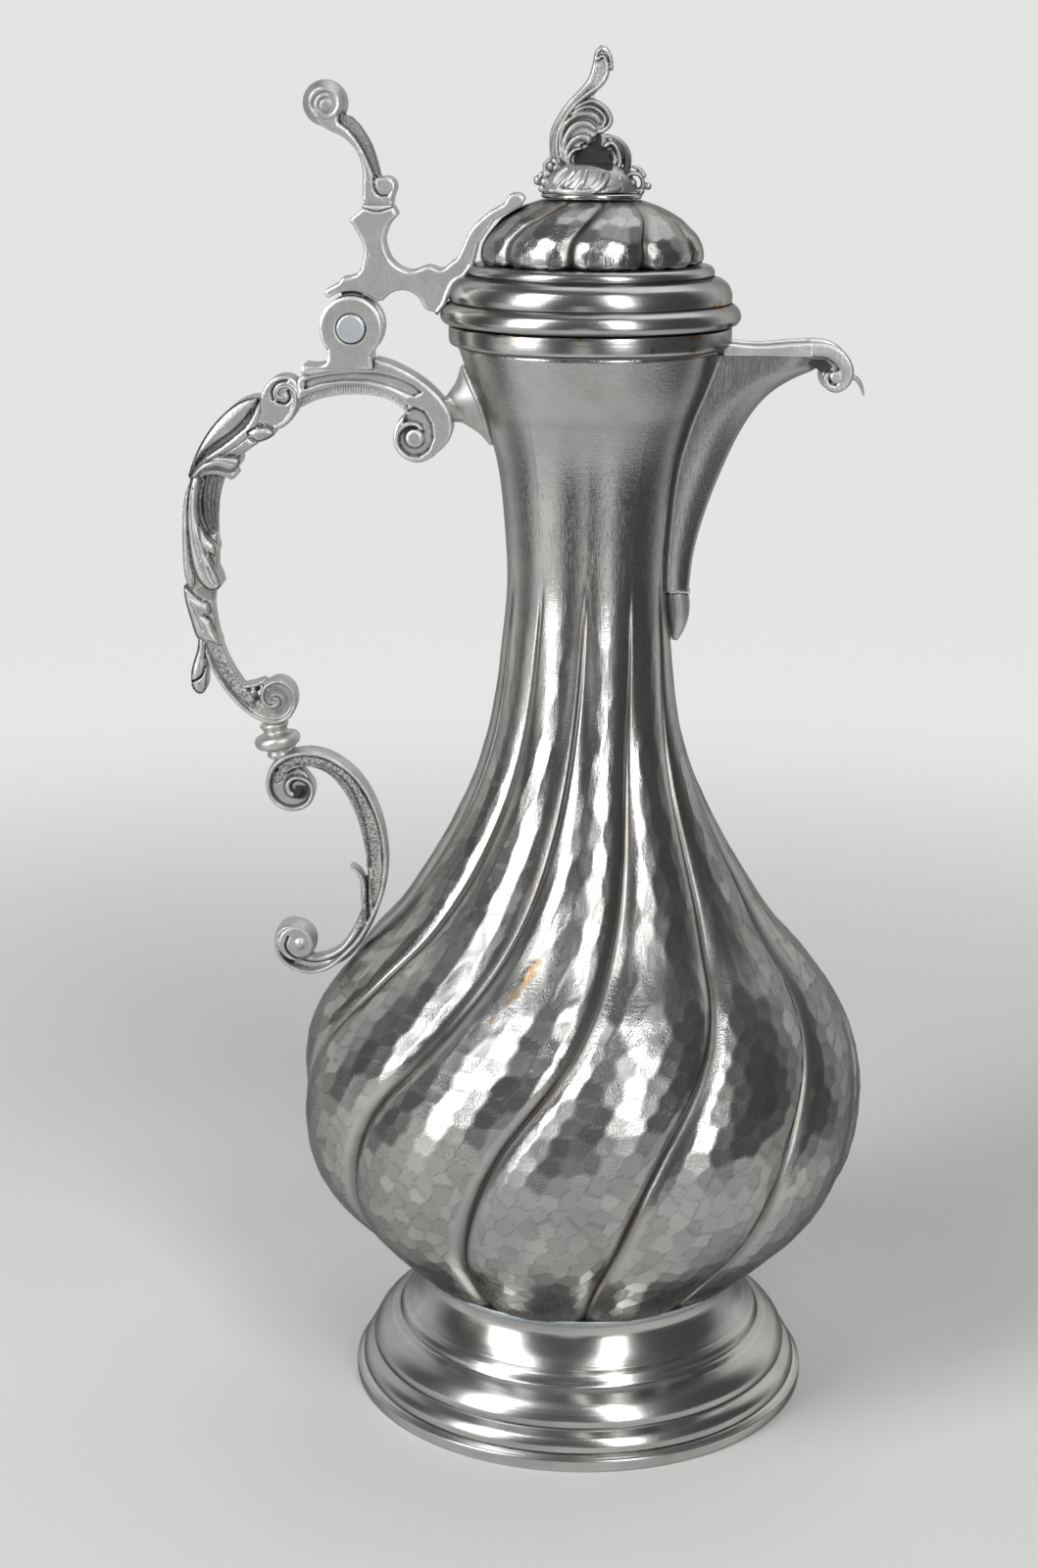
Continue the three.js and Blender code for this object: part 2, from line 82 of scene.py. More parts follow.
class Graph:
    def __init__(self, tree):
        self.tree = tree

    def make(self, kind, settings=None, values=None, output=0):
        node = self.tree.nodes.new(kind)
        for name, value in (settings or {}).items():
            setattr(node, name, value)
        for key, value in (values or {}).items():
            if isinstance(value, Wire):
                self.tree.links.new(value.socket, node.inputs[key])
            else:
                node.inputs[key].default_value = value
        return Wire(self, node.outputs[output])

    def calculate(self, operation, *values):
        return self.make("ShaderNodeMath", {"operation": operation}, dict(enumerate(values)))

    def blend(self, share, first, second):
        spots = {0: share}
        for key, colour in ((6, first), (7, second)):
            spots[key] = colour if isinstance(colour, Wire) else (*colour, 1)
        return self.make("ShaderNodeMix", {"data_type": "RGBA"}, spots, 2)

    def apart(self, vector):
        node = self.make("ShaderNodeSeparateXYZ", None, {0: vector}).socket.node
        return [Wire(self, socket) for socket in node.outputs]


def startMaterial(name):
    material = bpy.data.materials.new(name)
    material.use_nodes = True
    return material, Graph(material.node_tree), material.node_tree.nodes["Principled BSDF"]


def newObject(name, data):
    obj = bpy.data.objects.new(name, data)
    bpy.context.collection.objects.link(obj)
    return obj


# Faces between rings of points that follow one another
def ringFaces(rings, sides):
    return [(i * sides + k, i * sides + (k + 1) % sides, (i + 1) * sides + (k + 1) % sides, (i + 1) * sides + k)
            for i in range(rings - 1) for k in range(sides)]


# Camera, floor and lights
cameraView = {"lens": 60.0, "sensor": 36.0, "place": (0, -0.67173, 0.35111), "down": 15.187, "turn": 1.493,
              "roll": 0.293}
studio = {
    "floorColour": (0.83, 0.83, 0.82), "floorRough": 0.75, "floorRadius": 2.4, "wallHeight": 2.4, "bend": 1.0,
    "bendSteps": 12, "sides": 64, "aim": (0, 0, 0.16),
    "worldColour": (0.12, 0.122, 0.125), "frontColour": (0.09, 0.09, 0.09),
    # dark cards behind the camera, seen in reflections, with pale gaps: degrees round, half width, share
    "darkFrom": (128, 96), "darkReach": (0.3, 0.5), "fans": [(-60, 31, 1.0), (27, 13, 1.0), (-6, 9, 0.8)],
    "glow": 0.9, "glowReach": (0.24, 0.8),
    # name, degrees round from the camera, degrees up, distance, width, height, radiance
    "boxes": [("left box", -52, 28, 1.35, 0.46, 1.45, 6.4), ("right box", 25, 30, 1.35, 0.3, 1.4, 6.4),
              ("top box", 150, 66, 1.4, 1.2, 1.0, 1.2)],
}


def placeCamera(view):
    data = bpy.data.cameras.new("camera")
    data.lens = view["lens"]
    data.sensor_fit = "VERTICAL"
    data.sensor_height = view["sensor"]
    camera = newObject("camera", data)
    turn = Matrix.Rotation(math.radians(view["turn"]), 4, "Z")
    tilt = Matrix.Rotation(math.radians(90 - view["down"]), 4, "X")
    roll = Matrix.Rotation(math.radians(view["roll"]), 4, "Z")
    camera.matrix_world = Matrix.Translation(view["place"]) @ turn @ tilt @ roll
    bpy.context.scene.camera = camera
    bpy.context.scene.view_settings.view_transform = "Standard"


def makeStudio(look):
    material, graph, shader = startMaterial("studio_paper")
    shader.inputs["Roughness"].default_value = look["floorRough"]
    place = graph.make("ShaderNodeTexCoord", output=3)
    x, y, z = graph.apart(place)
    reach = graph.make("ShaderNodeVectorMath", {"operation": "LENGTH"}, {0: place}, 1)
    turn = x.maths("ARCTAN2", 0 - y) * (180 / math.pi)
    pale = turn * 0
    for middle, half, share in look["fans"]:
        pale = pale.maths("MAXIMUM", (turn - middle).maths("ABSOLUTE").fade(half, half * 0.45) * share)
    dark = turn.maths("ABSOLUTE").fade(*look["darkFrom"]) * reach.fade(*look["darkReach"])
    light = graph.make("ShaderNodeLightPath").socket.node.outputs
    seen = [Wire(graph, light[f"Is {kind} Ray"]) for kind in ("Camera", "Glossy", "Transmission")]
    dark = dark * (1 - pale * z.fade(0.5, 0.05)) * (1 - seen[0])
    paper = graph.blend(dark, look["floorColour"], look["frontColour"])
    material.node_tree.links.new(paper.socket, shader.inputs["Base Color"])
    glow = graph.make("ShaderNodeEmission", None, {"Color": paper})
    share = seen[0].maths("MAXIMUM", seen[1]).maths("MAXIMUM", seen[2])
    share = share * reach.fade(*look["glowReach"]) * look["glow"]
    mixed = graph.make("ShaderNodeMixShader", None, {0: share, 1: Wire(graph, shader.outputs[0]), 2: glow})
    material.node_tree.links.new(mixed.socket, material.node_tree.nodes["Material Output"].inputs["Surface"])
    outline = [(0, 0), (look["floorRadius"] - look["bend"], 0)]
    for step in range(1, look["bendSteps"] + 1):
        angle = math.radians(90 * step / look["bendSteps"])
        outline.append((look["floorRadius"] - look["bend"] * (1 - math.sin(angle)),
                        look["bend"] * (1 - math.cos(angle))))
    outline.append((look["floorRadius"], look["wallHeight"]))
    sides = look["sides"]
    points = [(r * math.cos(2 * math.pi * k / sides), r * math.sin(2 * math.pi * k / sides), z)
              for r, z in outline for k in range(sides)]
    mesh = bpy.data.meshes.new("floor")
    mesh.from_pydata(points, [], ringFaces(len(outline), sides))
    mesh.shade_smooth()
    mesh.materials.append(material)
    floor = newObject("floor", mesh)
    aim = Vector(look["aim"])
    for name, around, up, distance, width, height, radiance in look["boxes"]:
        lamp = bpy.data.lights.new(name, "AREA")
        lamp.shape = "RECTANGLE"
        lamp.size, lamp.size_y = width, height
        lamp.energy = radiance * math.pi * width * height
        holder = newObject(name, lamp)
        flat = distance * math.cos(math.radians(up))
        place = aim + Vector((flat * math.sin(math.radians(around)), -flat * math.cos(math.radians(around)),
                              distance * math.sin(math.radians(up))))
        holder.location = place
        holder.rotation_euler = (aim - place).to_track_quat("-Z", "Y").to_euler()
        holder.visible_camera = False
    world = bpy.data.worlds.new("world")
    bpy.context.scene.world = world
    world.use_nodes = True
    world.node_tree.nodes["Background"].inputs["Color"].default_value = (*look["worldColour"], 1)


placeCamera(cameraView)
makeStudio(studio)
print("stage: camera, floor and lights")


# Finishes
sheetFinish = {"bright": (0.62, 0.612, 0.59), "dull": (0.42, 0.425, 0.425), "patina": (0.07, 0.066, 0.06),
               "tarnish": (0.3, 0.22, 0.13), "rough": 0.2, "edge": 0.35, "facet": (0.31, 0.31, 0.3), "facets": 0.66,
               "cloud": 28.0, "lacquer": (0.4, 0.24, 0.09)}
# Spots of old gold lacquer: degrees round, height, distance from the axis, size
bodyGold = [(-22, 122.8, 60.9, 1.4), (-19.3, 127, 57.2, 1.7), (-18, 129, 55.4, 2.2), (-16, 131.4, 53.2, 2.3),
            (-14.6, 133.6, 51.2, 2.0), (-13.4, 135.4, 49.7, 1.6),
            (-23, 63, 71.8, 1.6), (-24.9, 56, 68, 2.2), (-24, 59, 69.8, 1.3), (26.9, 111.4, 69, 0.9),
            (1.4, 116.4, 65.6, 0.8)]
rimGold = [(63.3, 296.4, 35.9, 1.6), (58, 296.3, 35.9, 1.2), (44.3, 289.6, 36, 1.5), (48, 289.4, 36, 1.3),
           (44.5, 286, 36, 1.4), (25, 286.6, 36, 0.9), (-4.5, 289.9, 36, 1.1), (-30, 289.9, 36, 1.3),
           (-40, 289.9, 36, 1.2)]
castFinish = {"bright": (0.72, 0.715, 0.7), "dull": (0.5, 0.5, 0.49), "patina": (0.045, 0.043, 0.04),
              "tarnish": (0.3, 0.22, 0.12), "rough": 0.44, "edge": 0.55, "facet": (0.3, 0.3, 0.3), "facets": 0.0,
              "cloud": 150.0}
# Texture scales in cells to the metre; each hair has its lean in radians, then its scale
scales = {"stain": 46.0, "grooveStain": 60.0, "ragged": 420.0, "stipple": 1500.0, "scratches": (260.0, 340.0),
          "turned": 1300.0, "hairs": ((0.9, 2300.0), (-0.5, 2900.0), (1.3, 2600.0))}


def makePewter(name, look, grain, tarnishReach, scratchDepth, wear, turned=0.0):
    material, graph, shader = startMaterial(name)
    shader.inputs["Metallic"].default_value = 1.0
    shader.inputs["Specular Tint"].default_value = (look["edge"], look["edge"], look["edge"], 1)
    place = graph.make("ShaderNodeTexCoord", output=3)
    # The facet-border attribute is painted shade: it darkens thin lines along the borders between hammer facets.
    hollow, facet, rim, gap, lined, ground = (
        graph.make("ShaderNodeAttribute", {"attribute_name": layer}, output=2)
        for layer in ("hollow", "facet", "facetBorderShade", "grooveReach", "lined", "ground"))

    def noise(scale, detail=3.0, rough=0.55, stretch=(1, 1, 1)):
        spot = graph.make("ShaderNodeMapping", {"vector_type": "POINT"}, {"Vector": place, "Scale": stretch})
        return graph.make("ShaderNodeTexNoise", None, {"Vector": spot, "Scale": scale, "Detail": detail,
                                                       "Roughness": rough})

    def hairline(turn, scale):
        laid = graph.make("ShaderNodeMapping", {"vector_type": "POINT"}, {
            "Vector": place, "Rotation": (0, turn, 0), "Scale": (1, 1, 0.03)})
        return graph.make("ShaderNodeTexNoise", None, {"Vector": laid, "Scale": scale, "Detail": 1.0}).fade(0.6, 0.7)

    cloud = noise(look["cloud"], 4.0, 0.6).fade(0.35, 0.68)
    speck = noise(grain, 2.0, 0.7)
    groove = gap.fade(2.8 * mm, 0.3 * mm) * lined
    # Darkening toward the patina colour: real patina in hollows and grooves, plus painted shade along facet borders
    # and in the areas that finishCast adds to the hollow attribute.
    patinaAndShade = hollow.fade(0.08, 0.75).maths("MAXIMUM", groove * 0.5).maths("MAXIMUM", rim * 0.42)
    worn = (0 - hollow).fade(0.1, 0.8)
    tone = graph.blend(cloud * 0.7 + speck * 0.3, look["dull"], look["bright"])
    tone = graph.blend(facet.fade(0, 1) * look["facets"], tone, look["facet"])
    tone = graph.blend(worn * wear, tone, [min(0.92, c * 1.3) for c in look["bright"]])
    stain = noise(scales["stain"], 3.0, 0.6).fade(0.6, 0.72) * tarnishReach
    stain = stain.maths("MAXIMUM", groove * noise(scales["grooveStain"], 3.0, 0.65).fade(0.5, 0.62) * 0.4)
    tone = graph.blend(stain, tone, look["tarnish"])
    ragged = noise(scales["ragged"], 3.0, 0.6)
    for around, height, reach, size in look.get("gold", ()):
        turn = math.radians(around)
        away = graph.make("ShaderNodeVectorMath", {"operation": "DISTANCE"}, {
            0: place, 1: (reach * mm * math.sin(turn), -reach * mm * math.cos(turn), height * mm)}, 1)
        tone = graph.blend((away / (size * mm) + ragged * 1.6).fade(1.8, 1.3) * 0.7, tone, look["lacquer"])
    # Patina and painted shade darken the tone here.
    tone = graph.blend(patinaAndShade * 0.92, tone, look["patina"])
    stipple = noise(scales["stipple"], 1.0, 0.4).fade(0.62, 0.4)
    tone = graph.blend(stipple * ground * 0.6, tone, look["patina"])
    rough = cloud * -0.06 + speck * (0.05 - 0.03 * turned) + patinaAndShade * 0.3 + facet * 0.1 + look["rough"]
    acrossScale, upScale = scales["scratches"]
    scratch = noise(acrossScale, 3.0, 0.75, (1, 1, 9)) + noise(upScale, 2.0, 0.7, (6, 6, 0.8))
    x, y, z = graph.apart(place)
    reach = (x * x + y * y).maths("SQRT")
    spun = graph.make("ShaderNodeTexNoise", None, {
        "Vector": graph.make("ShaderNodeCombineXYZ", None, {0: reach, 1: y.maths("ARCTAN2", x) * 0.0008, 2: z}),
        "Scale": scales["turned"], "Detail": 3.0, "Roughness": 0.7})
    scratch = scratch * (1 - turned) + spun * (2.2 * turned)
    if "hairsFrom" in look:
        first, second, third = (hairline(*hair) for hair in scales["hairs"])
        scratch = scratch - (first + second + third) * z.fade(*look["hairsFrom"]) * 0.4
    height = scratch + speck * (0.8 - 0.7 * turned) - stipple * ground * 2.4
    bump = graph.make("ShaderNodeBump", None, {"Strength": 0.4, "Distance": scratchDepth * mm, "Height": height})
    for key, wire in (("Base Color", tone), ("Roughness", rough), ("Normal", bump)):
        material.node_tree.links.new(wire.socket, shader.inputs[key])
    return material


sheetPewter = makePewter("sheet_pewter", sheetFinish | {"gold": bodyGold, "hairsFrom": (0.2, 0.245)}, 1500.0, 0.15,
                         0.075, 0.12)
spunPewter = makePewter("spun_pewter", sheetFinish | {"rough": 0.24, "gold": rimGold}, 1100.0, 0.2, 0.06, 0.3,
                        turned=1.0)
castPewter = makePewter("cast_pewter", castFinish, 1800.0, 0.06, 0.16, 0.8)
solderPewter = makePewter("solder_pewter", castFinish | {"bright": (0.84, 0.87, 0.91), "dull": (0.66, 0.69, 0.73)},
                          1500.0, 0.05, 0.14, 0.6)
print("stage: finishes")


# Curves and meshes
def along(pairs):
    spots, values = np.array(pairs, float).T
    slopes = np.gradient(values)
    slopes[1:-1] = (values[2:] - values[:-2]) / (spots[2:] - spots[:-2])
    slopes[[0, -1]] = np.diff(values)[[0, -1]] / np.diff(spots)[[0, -1]]

    def value(at):
        at = np.clip(at, spots[0], spots[-1])
        i = np.clip(np.searchsorted(spots, at), 1, len(spots) - 1)
        span = spots[i] - spots[i - 1]
        t = (at - spots[i - 1]) / span
        start = values[i - 1] * (1 + 2 * t) * (1 - t) ** 2 + slopes[i - 1] * span * t * (1 - t) ** 2
        return start + values[i] * (3 - 2 * t) * t ** 2 + slopes[i] * span * t ** 2 * (t - 1)
    return value


def smoothLine(points, perSpan=8):
    known = np.array(points, float)
    known = np.vstack([known[:1], known, known[-1:]])
    t = (np.arange(perSpan) / perSpan)[:, None]
    spans = []
    for a, b, c, d in zip(known, known[1:], known[2:], known[3:]):
        spans.append(0.5 * (2 * b + (c - a) * t + (2 * a - 5 * b + 4 * c - d) * t ** 2
                            + (3 * b - a - 3 * c + d) * t ** 3))
    return np.vstack([*spans, known[-1:]])


def respaced(line, step):
    line = np.array(line, float)
    reach = np.r_[0, np.cumsum(np.linalg.norm(np.diff(line, axis=0), axis=1))]
    count = max(int(round(reach[-1] / step)), 1)
    spots = np.linspace(0, reach[-1], count + 1)
    return np.stack([np.interp(spots, reach, column) for column in line.T], 1)


def joined(*lines):
    return [tuple(point) for point in np.vstack(lines)]


def readPoints(mesh, kind="vertices"):
    values = np.empty(len(mesh.vertices) * 3, np.float32)
    if kind == "normals":
        mesh.vertex_normals.foreach_get("vector", values)
    else:
        mesh.vertices.foreach_get("co", values)
    return values.reshape(-1, 3).astype(float)


def writePoints(mesh, points):
    mesh.vertices.foreach_set("co", points.astype(np.float32).ravel())
    mesh.update()


def readValues(mesh, name):
    values = np.empty(len(mesh.vertices), np.float32)
    mesh.attributes[name].data.foreach_get("value", values)
    return values


def storeValues(mesh, name, values):
    layer = mesh.attributes.get(name) or mesh.attributes.new(name, "FLOAT", "POINT")
    layer.data.foreach_set("value", values.astype(np.float32))


def ringSteps(mesh):
    ends = np.empty(len(mesh.edges) * 2, np.int32)
    mesh.edges.foreach_get("vertices", ends)
    ends = ends.reshape(-1, 2)
    if "skin" in mesh.attributes:
        skin = readValues(mesh, "skin") > 0.5
        ends = ends[skin[ends[:, 0]] == skin[ends[:, 1]]]
    count = np.bincount(ends.ravel(), minlength=len(mesh.vertices))[:, None]

    def spread(values):
        total = np.empty_like(values)
        for k in range(values.shape[1]):
            column = values[:, k]
            total[:, k] = (np.bincount(ends[:, 0], column[ends[:, 1]], len(values))
                           + np.bincount(ends[:, 1], column[ends[:, 0]], len(values)))
        return total / np.maximum(count, 1)
    return spread


# Outer skins of several sheets as one cloud; points that meet at a joint share one normal
def gatherSkins(meshes):
    parts, points, normals = [], [], []
    for mesh in meshes:
        whole, outer = readPoints(mesh), readValues(mesh, "skin") > 0.5
        mesh.calc_loop_triangles()
        corners = np.empty(len(mesh.loop_triangles) * 3, np.int32)
        mesh.loop_triangles.foreach_get("vertices", corners)
        corners = corners.reshape(-1, 3)
        corners = corners[outer[corners].all(1)]
        a, b, c = whole[corners].transpose(1, 0, 2)
        facing = np.cross(b - a, c - a)
        total = np.stack([np.bincount(corners.ravel(), np.repeat(facing[:, k], 3), len(whole)) for k in range(3)], 1)
        parts.append((mesh, np.flatnonzero(outer)))
        points.append(whole[outer] / mm)
        normals.append(total[outer] / np.linalg.norm(total[outer], axis=1, keepdims=True))
    points, normals = np.vstack(points), np.vstack(normals)
    _, same, count = np.unique(np.round(points, 2), axis=0, return_inverse=True, return_counts=True)
    same = same.ravel()
    shared = np.stack([np.bincount(same, normals[:, k]) for k in range(3)], 1)[same]
    return parts, points, shared / np.linalg.norm(shared, axis=1, keepdims=True), count[same] > 1


# How deep a point lies below its surroundings, from -1 on an edge to 1 in a crease
def markHollows(mesh, reach, depth):
    points = readPoints(mesh)
    spread = ringSteps(mesh)
    around = points.copy()
    for _ in range(reach):
        around = 0.4 * around + 0.6 * spread(around)
    normals = readPoints(mesh, "normals")
    if "skin" in mesh.attributes:
        normals[readValues(mesh, "skin") > 0.5] = gatherSkins([mesh])[2]
    sunk = ((around - points) * normals).sum(1)
    storeValues(mesh, "hollow", np.clip(sunk / (depth * mm), -1, 1))


def bake(obj):
    graph = bpy.context.evaluated_depsgraph_get()
    mesh = bpy.data.meshes.new_from_object(obj.evaluated_get(graph), preserve_all_data_layers=True,
                                           depsgraph=graph)
    obj.modifiers.clear()
    obj.data = mesh
    return mesh


def enclosed(mesh):
    mesh.calc_loop_triangles()
    corners = np.empty(len(mesh.loop_triangles) * 3, np.int32)
    mesh.loop_triangles.foreach_get("vertices", corners)
    a, b, c = readPoints(mesh)[corners.reshape(-1, 3)].transpose(1, 0, 2)
    return (a * np.cross(b, c)).sum() / 6


def finishPiece(obj, body, nodes, sharp=50):
    if enclosed(obj.data) < 0:
        obj.data.flip_normals()
    obj.data.shade_smooth()
    obj.data.set_sharp_from_angle(angle=math.radians(sharp))
    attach(obj, body)
    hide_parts(*nodes)


# Node trees for shapes: startTree gives the graph and its inputs, endTree closes it, grow applies it
def startTree(name, slots):
    tree = bpy.data.node_groups.new(name, "GeometryNodeTree")
    for label, kind, value in slots:
        socket = tree.interface.new_socket(label, in_out="INPUT", socket_type=f"NodeSocket{kind}")
        if value is not None:
            socket.default_value = value
    tree.interface.new_socket("Result", in_out="OUTPUT", socket_type="NodeSocketGeometry")
    graph = Graph(tree)
    given = tree.nodes.new("NodeGroupInput")
    return graph, {label: Wire(graph, given.outputs[label]) for label, _, _ in slots}


def endTree(graph, shape, metal):
    shape = graph.make("GeometryNodeRealizeInstances", None, {"Geometry": shape})
    shape = graph.make("GeometryNodeSetMaterial", None, {"Geometry": shape, "Material": metal})
    last = graph.tree.nodes.new("NodeGroupOutput")
    graph.tree.links.new(shape.socket, last.inputs[0])
    return graph.tree


def grow(obj, tree, values):
    modifier = obj.modifiers.new("grow", "NODES")
    modifier.node_group = tree
    for key, value in values.items():
        modifier[tree.interface.items_tree[key].identifier] = value
    return bake(obj)


# A grid with one row for each point of a line; carried reads a value stored on that point
def rowGrid(graph, line, columns):
    rows = graph.make("GeometryNodeAttributeDomainSize", None, {"Geometry": line})
    grid = graph.make("GeometryNodeMeshGrid", None, {"Vertices X": columns + 1, "Vertices Y": rows})
    index = graph.make("GeometryNodeInputIndex")
    column = ((index + 0.5) / rows).maths("FLOOR")
    row = index - column * rows

    def sampled(kind, field):
        return graph.make("GeometryNodeSampleIndex", {"data_type": kind},
                          {"Geometry": line, "Value": field, "Index": row})

    def carried(name):
        return sampled("FLOAT", graph.make("GeometryNodeInputNamedAttribute", {"data_type": "FLOAT"}, {"Name": name}))

    spot = graph.apart(sampled("FLOAT_VECTOR", graph.make("GeometryNodeInputPosition")))
    return grid, column / columns, spot, carried


# Spun sheet: an outline turned round the body's axis, gathered into lobes between twisted grooves.
# Each outline point carries its turn, how deep the groove is there, and whether it is on the outer skin.
def growSpinTree():
    graph, take = startTree("spun_sheet", [
        ("Outline", "Geometry", None), ("Columns", "Int", 96), ("Lobes", "Int", 1), ("Fullness", "Float", 0.8),
        ("Crowding", "Float", 0.35), ("Line Depth", "Float", 0.0005), ("Line Width", "Float", 0.0006),
        ("Valley Depth", "Float", 0.3), ("Valley Width", "Float", 0.003), ("Metal", "Material", None)])
    grid, around, (radius, _, height), carried = rowGrid(graph, take["Outline"], take["Columns"])
    share, turn = carried("share"), carried("turn")
    even = around * (math.pi * take["Lobes"])
    warped = even - take["Crowding"] * 0.5 * (even * 2).maths("SINE")
    crest = warped.maths("SINE").maths("ABSOLUTE")
    reach = crest.maths("ARCSINE") * 2 / take["Lobes"] * radius
    line = (0 - (reach / take["Line Width"]) ** 2).maths("EXPONENT")
    valley = (0 - (reach / take["Valley Width"]) ** 2).maths("EXPONENT") * take["Valley Depth"] * share
    sunk = share * (1 - crest ** take["Fullness"]) + valley + line * take["Line Depth"] * carried("line")
    angle = warped * 2 / take["Lobes"] + turn
    far = radius - sunk
    place = graph.make("ShaderNodeCombineXYZ", None, {
        0: far * angle.maths("SINE"), 1: 0 - far * angle.maths("COSINE"), 2: height})
    shape = graph.make("GeometryNodeSetPosition", None, {"Geometry": grid, "Position": place})
    for name, field in (("grooveReach", reach), ("skin", carried("skin")), ("lined", carried("line")),
                        ("lobe", (warped / math.pi).maths("FLOOR"))):
        shape = graph.make("GeometryNodeStoreNamedAttribute", {"data_type": "FLOAT", "domain": "POINT"},
                           {"Geometry": shape, "Name": name, "Value": field})
    shape = graph.make("GeometryNodeMergeByDistance", None, {"Geometry": shape, "Distance": weld})
    return endTree(graph, shape, take["Metal"])


spinTree = growSpinTree()


def spin(name, outline, metal, columns=288, lobes=1, turn=None, share=None, line=None, outer=0, grooveFrom=6,
         **sizes):
    outline = np.array([*outline, outline[0]], float)
    radius, height = outline.T
    mesh = bpy.data.meshes.new(name)
    mesh.from_pydata(np.stack([radius, 0 * radius, height], 1) * mm, [], [])
    held = radius > grooveFrom
    storeValues(mesh, "turn", np.radians(turn(height)) if turn else 0 * radius)
    storeValues(mesh, "share", share(height) * held * mm if share else 0 * radius)
    storeValues(mesh, "line", line(height) * held if line else 0 * radius)
    storeValues(mesh, "skin", np.arange(len(radius)) % (len(radius) - 1) < outer)
    obj = newObject(name, mesh)
    grow(obj, spinTree, {"Columns": columns, "Lobes": lobes, "Metal": metal} | sizes)
    if enclosed(obj.data) < 0:
        obj.data.flip_normals()
    return obj


# Hammering: the skin between the grooves is drawn onto the flats that the blows left.
# Sizes in mm: a groove or a flat that has no say counts as far away, blows stay clear of the plain band beside a
# groove and snap to the skin, and the flats fade in past the band. Each point weighs its nearest flats.
hammerSizes = {"farGroove": 99, "farFlat": 1, "clear": 1.2, "snap": 5, "fade": 2.2, "nearest": 7}


def hammer(sheets, blows, line):
    parts, points, normals, _ = gatherSkins([sheet.data for sheet in sheets])
    reach, calm, lobe = (np.hstack([readValues(mesh, name)[skin] for mesh, skin in parts])
                         for name in ("grooveReach", "lined", "lobe"))
    reach = np.where(calm > 0.05, reach / mm, hammerSizes["farGroove"])
    lookup = kdtree.KDTree(len(points))
    for k in np.flatnonzero(reach > blows["band"] + hammerSizes["clear"]):
        lookup.insert(points[k], int(k))
    lookup.balance()
    line = np.array(line)
    run = np.r_[0, np.cumsum(np.hypot(*np.diff(line, axis=0).T))]
    seeds = set()
    at, odd = blows["start"], False
    while at < run[-1]:
        ring, height = (np.interp(at, run, column) for column in line.T)
        count = max(int(2 * math.pi * ring / blows["across"](height)), 3)
        step = blows["down"](height)
        stray = draw.uniform(-blows["stray"], blows["stray"], (2, count))
        angles = (np.arange(count) + 0.5 * odd + stray[0]) * 2 * math.pi / count
        shifted = at + stray[1] * step
        for angle, r, z in zip(angles, np.interp(shifted, run, line[:, 0]), np.interp(shifted, run, line[:, 1])):
            place, k, gap = lookup.find((r * math.sin(angle), -r * math.cos(angle), z))
            if gap < hammerSizes["snap"]:
                seeds.add(k)
        odd = not odd
        at += step
    chosen = np.array(sorted(seeds))
    centres, facing = points[chosen], normals[chosen] + draw.normal(0, blows["tilt"], (len(chosen), 3))
    facing /= np.linalg.norm(facing, axis=1, keepdims=True)
    lookup = kdtree.KDTree(len(chosen))
    for k, centre in enumerate(centres):
        lookup.insert(centre, k)
    lookup.balance()
    nearest = np.array([[hit[1] for hit in lookup.find_n(point, hammerSizes["nearest"])] for point in points])
    gaps = centres[nearest] - points[:, None]
    lifts = (gaps * facing[nearest]).sum(2) / np.maximum((facing[nearest] * normals[:, None]).sum(2), 0.5)
    lifts += blows["hollow"] * (gaps ** 2).sum(2) + blows["bow"](points[:, 2])[:, None] * gaps[:, :, 2] ** 2
    lifts[(lobe[chosen][nearest] != lobe[:, None]) & (calm > 0.05)[:, None]] = hammerSizes["farFlat"]
    soft = blows["soft"]
    lift = np.clip(-soft * np.log(np.exp(-np.clip(lifts, -0.5, hammerSizes["farFlat"]) / soft).sum(1)), -0.02, 0.2)
    lift[lifts.min(1) > 0.9 * hammerSizes["farFlat"]] = 0
    clear = np.clip((reach - blows["band"]) / hammerSizes["fade"], 0, 1)
    clear = clear ** 2 * (3 - 2 * clear) * blows["share"](points[:, 2])
    lift *= clear
    polish = draw.uniform(0, 1, len(chosen))[nearest[np.arange(len(points)), lifts.argmin(1)]] * clear
    # Painted shade: how near each point lies to the border between two facets, stored to darken those borders.
    lowest = np.sort(lifts, axis=1)
    border = np.clip(1 - (lowest[:, 1] - lowest[:, 0]) / blows["border"], 0, 1) * clear
    points += normals * lift[:, None]
    first = 0
    for mesh, skin in parts:
        whole = readPoints(mesh)
        whole[skin] = points[first:first + len(skin)] * mm
        writePoints(mesh, whole)
        for name, values in (("facet", polish), ("facetBorderShade", border)):
            shades = np.zeros(len(whole))
            shades[skin] = values[first:first + len(skin)]
            storeValues(mesh, name, shades)
        first += len(skin)


# Where two sheets meet, both take the same normals, so that no seam shows
def matchNormals(sheets):
    parts, _, normals, joined = gatherSkins([sheet.data for sheet in sheets])
    first = 0
    for mesh, skin in parts:
        given = np.zeros((len(mesh.vertices), 3))
        mine = slice(first, first + len(skin))
        given[skin[joined[mine]]] = normals[mine][joined[mine]]
        first += len(skin)
        mesh.normals_split_custom_set_from_vertices(given)


